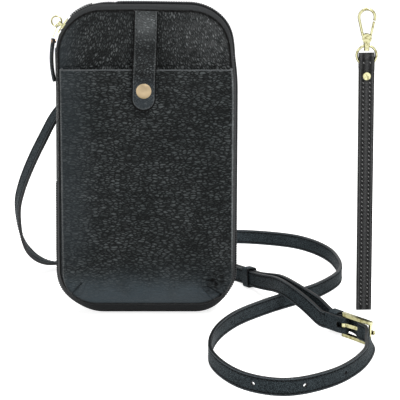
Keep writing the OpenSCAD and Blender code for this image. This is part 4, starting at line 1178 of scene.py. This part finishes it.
def teeth(name, facing, body, replaced, last_turn):
    """A row of teeth; in the top left corner it leaves off at a turn round the corner."""
    points, faces = [], []
    one_tooth = lidded_faces(len(TOOTH_SECTIONS), len(TOOTH_RING), flip=facing > 0)
    for p, along in rim_line():
        if p.x < -HALF_W + TOP_R and p.y > HEIGHT - TOP_R and corner_turn(p.x, p.y) > last_turn:
            continue
        if p.x < 0 and SPINE_LOW - BARE_SPINE < p.y < SPINE_HIGH + BARE_SPINE:
            continue
        inward = Vector((along.y, -along.x, 0))
        shift = along * (0.25 * TOOTH_PITCH * facing)
        sink = tooth_sink(p.x, p.y)
        swept = p.x < SWEPT_X and p.y > SWEPT_Z
        faces += shifted(one_tooth, len(points))
        for depth, half, low in TOOTH_SECTIONS:
            depth = max(depth, DIVIDER_ROOM) if swept else depth
            for a, b in TOOTH_RING:
                q = p + shift + along * (a * half) + inward * (sink + low + b * (1.75 - 1.6 * low))
                points.append(mm(q.x, facing * depth, q.y))
    return new_mesh(name, points, faces, [nylon], body, replaced)


back_teeth = teeth("back_zip_teeth", 1, "pouch", ["back_teeth"], 154.6)
front_teeth = teeth("front_zip_teeth", -1, "front_cover", ["front_teeth"], 136.4)
print("teeth faces:", len(back_teeth.data.polygons), "and", len(front_teeth.data.polygons))

# %% [markdown]
# Inside, each half is lined with twill over a stiffener, and the back half carries three
# card slots in steps. They are seen only when the pouch is open, but they are made all the
# same, as thin sheets with rounded rims.

# %% Lining and card slots
LINING_RINGS = [(0, PANEL_Y - 0.02), (0, 7.35), (0.3, LINING_Y + 0.05), (1.2, LINING_Y), (3, LINING_Y),
                (8, LINING_Y + 0.05), (16, LINING_Y), (28, LINING_Y), (44, LINING_Y)]
LINING_INSETS = [s + 1.3 for s in SEAM]
CARD_SLOTS = 3
SLOT_HALF_W, SLOT_FOOT, SLOT_TALL, SLOT_STEP, SLOT_T = 44, 20, 112, 16, 0.9
SLOT_COLUMNS, HEM_HALF_W, HEM_DOWN, HEM_STEPS = 30, 42, 2.5, 20


def lining(name, facing, body, replaced):
    def soft(x, z, d):
        return 0.03 * waver(x, z, 10, 6) if d > 2 else 0

    return board(name, facing, LINING_RINGS, LINING_INSETS, soft, lining_cloth, body, replaced,
                 inside=True)


def card_slot(k):
    """One of the card slots, counted from the lining, and the stitches along its mouth."""
    y, tall, rows = LINING_Y - (k + 1) * 1.2, SLOT_TALL - SLOT_STEP * k, 40 - 5 * k
    grid = []
    for i in range(rows + 1):
        row = []
        for j in range(SLOT_COLUMNS + 1):
            x, z = SLOT_HALF_W * (2 * j / SLOT_COLUMNS - 1), SLOT_FOOT + tall * i / rows
            soft = 0.06 * waver(x, z, 12, 20 + k) * math.sin(math.pi * j / SLOT_COLUMNS)
            row.append(mm(x, y + 0.55 + soft, z))
        grid.append(row)
    slip = band(f"card_slot_cloth_{k + 1}", grid, [lining_cloth], "pouch", [f"card_slot_{k + 1}"])
    thicken(slip, SLOT_T, rounding=0.3)
    hem = [(mm(HEM_HALF_W * (2 * j / HEM_STEPS - 1), y + 0.08, SLOT_FOOT + tall - HEM_DOWN),
            Vector((0, -1, 0))) for j in range(HEM_STEPS + 1)]
    sew(f"card_slot_stitches_{k + 1}", [hem], "pouch")
    return slip


lining("back_lining_cloth", 1, "pouch", ["back_lining"])
lining("front_lining_cloth", -1, "front_cover", ["front_lining"])
card_slots = [card_slot(k) for k in range(CARD_SLOTS)]
print("card slots:", len(card_slots))

# %% [markdown]
# The snap tab is sewn in with the top seam, runs down over the pocket's mouth and ends
# round. Its sheet follows a side profile, and the rows narrow towards the round end.

# %% Snap tab
TAB_X, TAB_LEAN, TAB_TOP, TAB_END = 0.35, 2.0, 188.2, 131.3
TAB_HALF, TAB_T = 7.2, 1.4
TAB_ROOT, TAB_RISE = 10.5, 7.9
TAB_BEND_TOP, TAB_BEND = 166.5, 13.0
tab_turn = placed(TAB_X, 0, TAB_TOP, TAB_LEAN, "Y") @ Matrix.Translation(mm(0, 0, -TAB_TOP))


def tab_depth(z):
    """Distance of the tab's middle from the pouch's middle plane at a height."""
    return TAB_ROOT + TAB_RISE * eased(clamped((TAB_BEND_TOP - z) / TAB_BEND))


def tab_half(z):
    """Half of the tab's width at a height."""
    down = max(0, TAB_END + TAB_HALF - z)
    return math.sqrt(max(0.02, TAB_HALF ** 2 - down ** 2))


def from_tab_edge(z, share):
    """Distance of a spot on the tab from its outline, in millimetres."""
    down = TAB_END + TAB_HALF - z
    return TAB_HALF * (1 - abs(share)) if down < 0 else TAB_HALF - math.hypot(tab_half(z) * share, down)


z = TAB_TOP + 1.3
tab_heights = []
while z > TAB_END + 0.02:
    tab_heights.append(z)
    z -= 1.0 if z > TAB_END + 8 else 0.55 if z > TAB_END + 2 else 0.25
tab_heights.append(TAB_END + 0.01)
tab_shares = mirrored([0, 0.21, 0.42, 0.6, 0.72, 0.8, 0.85, 0.9, 0.95, 1])
tab_rows = []
for z in tab_heights:
    spots = [(tab_half(z) * share, share) for share in tab_shares]
    tab_rows.append([tab_turn @ mm(x, -(tab_depth(z) + 0.05 * waver(x, z, 5, 31) - 0.12 * share ** 4), z)
                     for x, share in spots])
tab = band("tab_leather", tab_rows, [tab_pebbled, edge_paint], None, ["tab_strap"])
tab_spots = [(z, share, from_tab_edge(z, share)) for z in tab_heights for share in tab_shares]
# Painted highlights where the tab bends over at the top and in a pale line inside its edge, painted shadow
# along its outline, and a smoother lower part with a painted sheen.
paint_masks(tab, rub=[0.32 * bell(z, TAB_TOP - 6, 9) * (1 - share ** 6) + 0.24 * bell(edge, 1.15, 0.3)
                      for z, share, edge in tab_spots],
            crease=[clamped((0.95 - edge) / 0.3) for _, _, edge in tab_spots],
            stretch=[0.45 * clamped((152 - z) / 8) for z, _, _ in tab_spots])
thicken(tab, TAB_T, rounding=0.4, segments=3)
tab_edge = [[(tab_turn @ mm(side * max(0, tab_half(z) - 1.5), -tab_depth(z) - TAB_T / 2, z),
              Vector((0, -1, 0))) for z in tab_heights][3:-6] for side in (-1, 1)]
tab_sewing = sew("tab_stitches", tab_edge, None, pitch=2.6, length=2.0, radius=0.16, lift=0.02)
for piece in (tab, tab_sewing):
    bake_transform(piece)
print("tab faces:", len(tab.data.polygons))

# %% [markdown]
# Small straps and tabs are strips too: a side profile swept to a width. The two tabs on
# the back fold round the strap rings, and each strap end folds round its ring's lower bar
# and is riveted.

# %% Tabs and strap ends on the back
RINGS_X = 42
BAR_Y, BAR_Z = 11.5, 158.5
HANG_Y, HANG_Z = 13.307, 152.36
STRIP_SHARES = mirrored([0, 0.32, 0.55, 0.85, 1])
TAB_SEWING = [[(-3.8, 164.4), (-3.8, 170.8)], [(-3.8, 170.8), (3.8, 170.8)], [(3.8, 170.8), (3.8, 164.4)],
              [(3.8, 164.4), (-3.8, 170.8)]]


def arc_points(cy, cz, r, a0, a1, steps):
    turns = [math.radians(a0 + (a1 - a0) * k / steps) for k in range(steps + 1)]
    return [(cy + r * math.cos(a), cz + r * math.sin(a)) for a in turns]


def dense(profile, step=0.8):
    """The corners of a line with more places between them, no further apart than a step."""
    out = [profile[0]]
    for p, q in zip(profile, profile[1:]):
        count = max(1, math.ceil(math.dist(p, q) / step))
        out += [(p[0] + (q[0] - p[0]) * k / count, p[1] + (q[1] - p[1]) * k / count)
                for k in range(1, count + 1)]
    return out


def strip(name, profile, place, thickness, replaced, skip=None):
    """A strip whose side profile is (a, b) rows; place(a, b, w) puts a spot of it in the frame."""
    profile = dense(profile)
    rows = [[place(a, b, 5.0 * share) for share in STRIP_SHARES] for a, b in profile]
    piece = band(name, rows, [smooth, edge_paint], "pouch", [replaced],
                 skip=(lambda i, j: skip(profile[i], j)) if skip else None)
    return thicken(piece, thickness, rounding=0.25)


def ring_tab(side, word):
    """The tab that holds one strap ring, its stitches, and the strap's end in the ring."""
    def at_ring(a, b, w):
        return mm(RINGS_X * side + w, a, b)

    profile = [(10.0, 171.8), (10.0, 164)] + arc_points(BAR_Y, BAR_Z, 1.5, 180, 360, 12) \
        + [(11.05, 164), (11.05, 171.8)]
    strip(f"{word}_ring_tab_leather", profile, at_ring, 0.95, f"{word}_ring_tab")
    rows = [[(at_ring(11.52, z, x), Vector((0, 1, 0))) for x, z in dense(line)] for line in TAB_SEWING]
    sew(f"{word}_ring_tab_stitches", rows, "pouch", pitch=2.2, length=1.7, radius=0.2)
    profile = [(13.55, 141.9), (13.55, 146.2), (12.2, 149.6)] \
        + arc_points(HANG_Y, HANG_Z, 1.5, 180, 0, 12) + [(14.6, 149.6), (14.45, 146.2), (14.45, 141.9)]
    strip(f"{word}_strap_end_leather", profile, at_ring, 0.9, f"{word}_strap_end")


for side, word in ((-1, "left"), (1, "right")):
    ring_tab(side, word)
print("strap rings, mm apart:", 2 * RINGS_X)

# %% [markdown]
# At the buckle the short strap is turned round the heel bar, with a slot for the prong,
# and two keepers hold the long strap against it. All are set out in the buckle's own
# frame: u along the buckle, v through the strap and the width upright.

# %% Buckle end and keepers
BUCKLE = placed(118.2, -47, 7.3, -48.65, "Z")
KEEPER_W, KEEPER_T, KEEPER_R = 7.0, 0.9, 1.1
FIXED_AT, FIXED_HALF_V, FIXED_HALF_W = mm(-8.5, 1.8, 0), 2.9, 5.85
LOOSE_ROOM, LOOSE_HALF_W = 1.3, 6.05
BAND_SHARES = mirrored([0, 0.4, 0.8, 1])
HEEL_SLOT_FROM, HEEL_SLOT = -3.4, (3, 4)


def at_buckle(u, v, w):
    return BUCKLE @ mm(u, v, w)


def keeper(name, centre, half_v, half_w, turn, body, replaced):
    """A keeper: a band of leather that goes round the straps, with its corners rounded."""
    ring = []
    for sv, sw, a0 in ((1, 1, 0), (-1, 1, 90), (-1, -1, 180), (1, -1, 270)):
        ring += arc_points(sv * (half_v - KEEPER_R), sw * (half_w - KEEPER_R), KEEPER_R, a0, a0 + 90, 4)
    ring = dense(ring + [ring[0]], 1.0)[:-1]
    rows = [[turn @ (centre + mm(KEEPER_W / 2 * s, v, w)) for s in BAND_SHARES] for v, w in ring]
    piece = band(name, rows, [smooth, edge_paint], body, [replaced], closed=True)
    return thicken(piece, KEEPER_T, rounding=0.25)


heel_profile = [(-13, -2.5), (-3.2, -2.5), (-1.2, -2.25)] + arc_points(0, 0, 2.0, -90, 90, 14) \
    + [(-1.5, 1.85), (-5, 0.5), (-13, 0.5)]
strip("buckle_end_leather", heel_profile, at_buckle, 1.75, "buckle_strap_end",
      skip=lambda spot, j: spot[0] > HEEL_SLOT_FROM and j in HEEL_SLOT)
keeper("fixed_keeper_leather", FIXED_AT, FIXED_HALF_V, FIXED_HALF_W, BUCKLE, "pouch", "fixed_keeper")
low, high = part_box("loose_keeper")
before, under, after = (Vector(place[:3]) for place in SHORT_ROUTE[12:15])
along = after - before
keeper_turn = Matrix.Translation((low + high) / 2) \
    @ Matrix.Rotation(math.atan2(along.y, along.x), 4, "Z") \
    @ Matrix.Rotation(math.atan2(-along.z, math.hypot(along.x, along.y)), 4, "Y")
level = Vector((along.x, along.y, 0)).normalized()
spread = abs((Vector(LONG_ROUTE[-5][:3]) - under).cross(level).z)
keeper("loose_keeper_leather", mm(0, 0, 0), (spread + STRAP_T + KEEPER_T + LOOSE_ROOM) / 2,
       LOOSE_HALF_W, keeper_turn, "keeper", "loose_keeper")
print("spread of the two straps in the loose keeper, mm:", round(spread, 2))

# %% [markdown]
# The zip's leather pull is two plies sewn together, narrowing to a round tip. It bows away
# from the pouch, so that it clears the corner as the slider runs.

# %% Zip pull
PULL_TURN = placed(-55.278, -4.6, 172.411, -65, "Z")
PULL_L, PULL_TOP, PULL_TIP, PULL_BOW, PULL_T = 26.0, 2.2, 1.496, 1.5, 1.55
PULL_SEWN = (3.2, PULL_L - 1.6)


def pull_half(s):
    """Half of the pull's width at a distance from its top."""
    half = PULL_TOP + (PULL_TIP - PULL_TOP) * min(1, s / (PULL_L - PULL_TIP))
    over = max(0, s - (PULL_L - PULL_TIP))
    return min(half, math.sqrt(max(0.01, PULL_TIP ** 2 - over ** 2)))


def at_pull(x, y, s):
    return PULL_TURN @ mm(x, y - PULL_BOW * math.sin(math.pi * min(1, s / PULL_L)), -s)


pull_runs = []
s = 0.0
while s < PULL_L - 0.01:
    pull_runs.append(s)
    s += 0.9 if s < PULL_L - 2.5 else 0.3
pull_runs.append(PULL_L - 0.01)
pull_rows = [[at_pull(share * pull_half(s), 0, s) for share in BAND_SHARES] for s in pull_runs]
pull = band("zip_pull_strip", pull_rows, [smooth, edge_paint], "pull", ["zip_pull_leather"])
thicken(pull, PULL_T, rounding=0.35)
pull_sewing = [[(at_pull(side * (pull_half(s) - 0.75), face * 0.78, s),
                 PULL_TURN.to_3x3() @ Vector((0, face, 0)))
                for s in pull_runs if PULL_SEWN[0] < s < PULL_SEWN[1]]
               for face in (-1, 1) for side in (-1, 1)]
sew("zip_pull_stitches", pull_sewing, "pull", pitch=1.9, length=1.4, radius=0.17, thread=thread_grey)
print("pull faces:", len(pull.data.polygons))

# %% [markdown]
# The wristlet is a longer strip: it is folded at the foot, where its two plies meet in a
# tight bend, and folded again round the swivel ring, under one rivet. Its face has painted
# shade beside the stitches, painted highlights along the raised edges and down the middle,
# and edge paint along its outer edges.

# %% Wristlet strap
WRIST = placed(134.9, 0, 0, -1.0, "Y")
WRIST_TOP, WRIST_HALF, WRIST_T, WRIST_FOOT = 163.2, 4.6, 1.5, 2.1
WRIST_FLOOR = 1.22
WRIST_SEWN = 1.97


def at_wristlet(a, b, w):
    return WRIST @ mm(w, a, b)


def wrist_row(face, a, b, count, side):
    """A row of stitches up one face and side of the wristlet, from a height b."""
    return [(at_wristlet(face * a, b + k, side * WRIST_SEWN), Vector((0, face, 0))) for k in range(count)]


wrist_profile = [(-1.2, WRIST_FOOT), (-1.2, 151.6), (-2.35, 154.6), (-2.35, WRIST_TOP - 3.1)] \
    + arc_points(0, WRIST_TOP - 3.1, 2.35, 180, 0, 12) \
    + [(2.35, 154.6), (1.2, 151.6), (1.2, WRIST_FOOT)] + arc_points(0, WRIST_FOOT, 1.2, 0, -180, 8)[1:-1]
wrist_profile = dense(wrist_profile + [wrist_profile[0]], 1.6)[:-1]
wrist_shares = mirrored([0, 0.3, 0.36, 0.43, 0.5, 0.58, 0.72, 0.8, 0.87, 0.94, 1])
wrist_rows = [[at_wristlet(a, max(b, WRIST_FLOOR), WRIST_HALF * share) for share in wrist_shares]
              for a, b in wrist_profile]
wristlet = band("wristlet_leather_strip", wrist_rows, [black_smooth, edge_paint], "wristlet",
                ["wristlet_strap"], closed=True)
# Painted shade beside the stitches and edge paint along the outer band; painted highlights along the raised
# edges and down the middle.
groove_shade_and_edge = [max(0.9 * bell(abs(f), 0.43, 0.07), 1.0 if abs(f) > 0.9 else 0.0) for f in wrist_shares]
rubbed = [0.45 * bell(abs(f), 0.8, 0.06) + 0.25 * bell(f, 0, 0.2) for f in wrist_shares]
paint_masks(wristlet, crease=groove_shade_and_edge * len(wrist_rows), rub=rubbed * len(wrist_rows))
thicken(wristlet, WRIST_T, rounding=0.35)
wrist_sewing = [wrist_row(face, a, b, count, side) for face in (-1, 1) for side in (-1, 1)
                for a, b, count in ((1.98, 3.2, 147), (3.12, 155, 6))]
sew("wristlet_stitches", wrist_sewing, "wristlet", pitch=2.65, length=1.35, radius=0.33,
    thread=thread_grey, slant=24)
print("wristlet faces:", len(wristlet.data.polygons))

# %% [markdown]
# The hardware keeps its CAD shapes, which are true rounds and clean bars, and takes the
# metal finishes in its own slots.

# %% Finish of the hardware
METALS = {gold: ["zip_stops", "left_strap_ring", "right_strap_ring", "left_end_rivet",
                 "right_end_rivet", "buckle_frame", "buckle_prong", "snap_stud", "stud_washer",
                 "snap_socket", "zip_slider", "pull_ring", "zip_pull_link", "wristlet_rivet",
                 "wristlet_ring", "snap_hook", "gate_pin", "hook_gate"],
          cap_gold: ["snap_cap"], rose_gold: ["zip_pull_rivet"]}
for metal, names in METALS.items():
    for name in names:
        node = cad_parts[name]
        node.data.materials.clear()
        node.data.materials.append(metal)
print("finished CAD pieces:", sum(len(v) for v in METALS.values()))

# %% [markdown]
# The stage is a pale floor and soft lamps. The floor shows white to the camera and to
# reflections, but still takes the shadow, because only a share of its white is its own
# light. The lamps stay at the plain level at which a colour looks as it is written.

# %% Floor, lamps and world
FLOOR_GLOW = 0.82
WORLD_LEVELS = (0.3, 1.0)
LAMPS_LOOK_AT = Vector((0.03, 0, 0.09))


def seen_rays(tree):
    """1 for rays that show the stage to the camera, straight or in a reflection, else 0."""
    rays = tree.nodes.new("ShaderNodeLightPath").outputs
    seen = plus(tree, rays["Is Camera Ray"], rays["Is Glossy Ray"])
    return maths(tree, "ADD", seen, rays["Is Transmission Ray"], limited=True)


def softbox(name, at, size, power):
    data = bpy.data.lights.new(name, "AREA")
    data.shape = "RECTANGLE"
    data.size, data.size_y = size
    data.energy = power
    lamp = bpy.data.objects.new(name, data)
    bpy.context.scene.collection.objects.link(lamp)
    lamp.location = at
    lamp.rotation_euler = (LAMPS_LOOK_AT - Vector(at)).to_track_quat("-Z", "Y").to_euler()
    return lamp


floor_mesh = bpy.data.meshes.new("floor")
floor_mesh.from_pydata([(-6, -6, 0), (6, -6, 0), (6, 6, 0), (-6, 6, 0)], [], [(0, 1, 2, 3)])
floor = bpy.data.objects.new("floor", floor_mesh)
bpy.context.scene.collection.objects.link(floor)
floor.location.z = -0.02 * MM
floor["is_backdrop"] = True
floor_white, tree, shader, place = new_material("floor_white")
feed(tree, shader, {"Base Color": (0.8, 0.8, 0.8, 1), "Roughness": 0.9, "Specular IOR Level": 0.1})
glow = add_node(tree, "ShaderNodeEmission", {"Color": (1, 1, 1, 1),
                                             "Strength": times(tree, seen_rays(tree), FLOOR_GLOW)})
both = add_node(tree, "ShaderNodeAddShader", {0: shader.outputs[0], 1: glow.outputs[0]})
tree.links.new(both.outputs[0], tree.nodes["Material Output"].inputs["Surface"])
floor_mesh.materials.append(floor_white)

world = bpy.data.worlds.new("studio")
bpy.context.scene.world = world
world.use_nodes = True
tree = world.node_tree
feed(tree, tree.nodes["Background"], {"Color": (1, 1, 1, 1),
                                      "Strength": ramp(tree, seen_rays(tree), 0, 1, *WORLD_LEVELS)})
lamps = [softbox("key_softbox", (0.45, -0.55, 1.0), (0.35, 0.35), 8.0),
         softbox("fill_softbox", (-0.85, -0.6, 0.5), (0.4, 0.7), 2.5),
         softbox("top_softbox", (0.0, 0.1, 1.3), (0.9, 0.5), 7.0)]
bpy.context.scene.view_settings.view_transform = "Standard"
print("lamps:", len(lamps))

# %% Sizes
low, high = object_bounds()
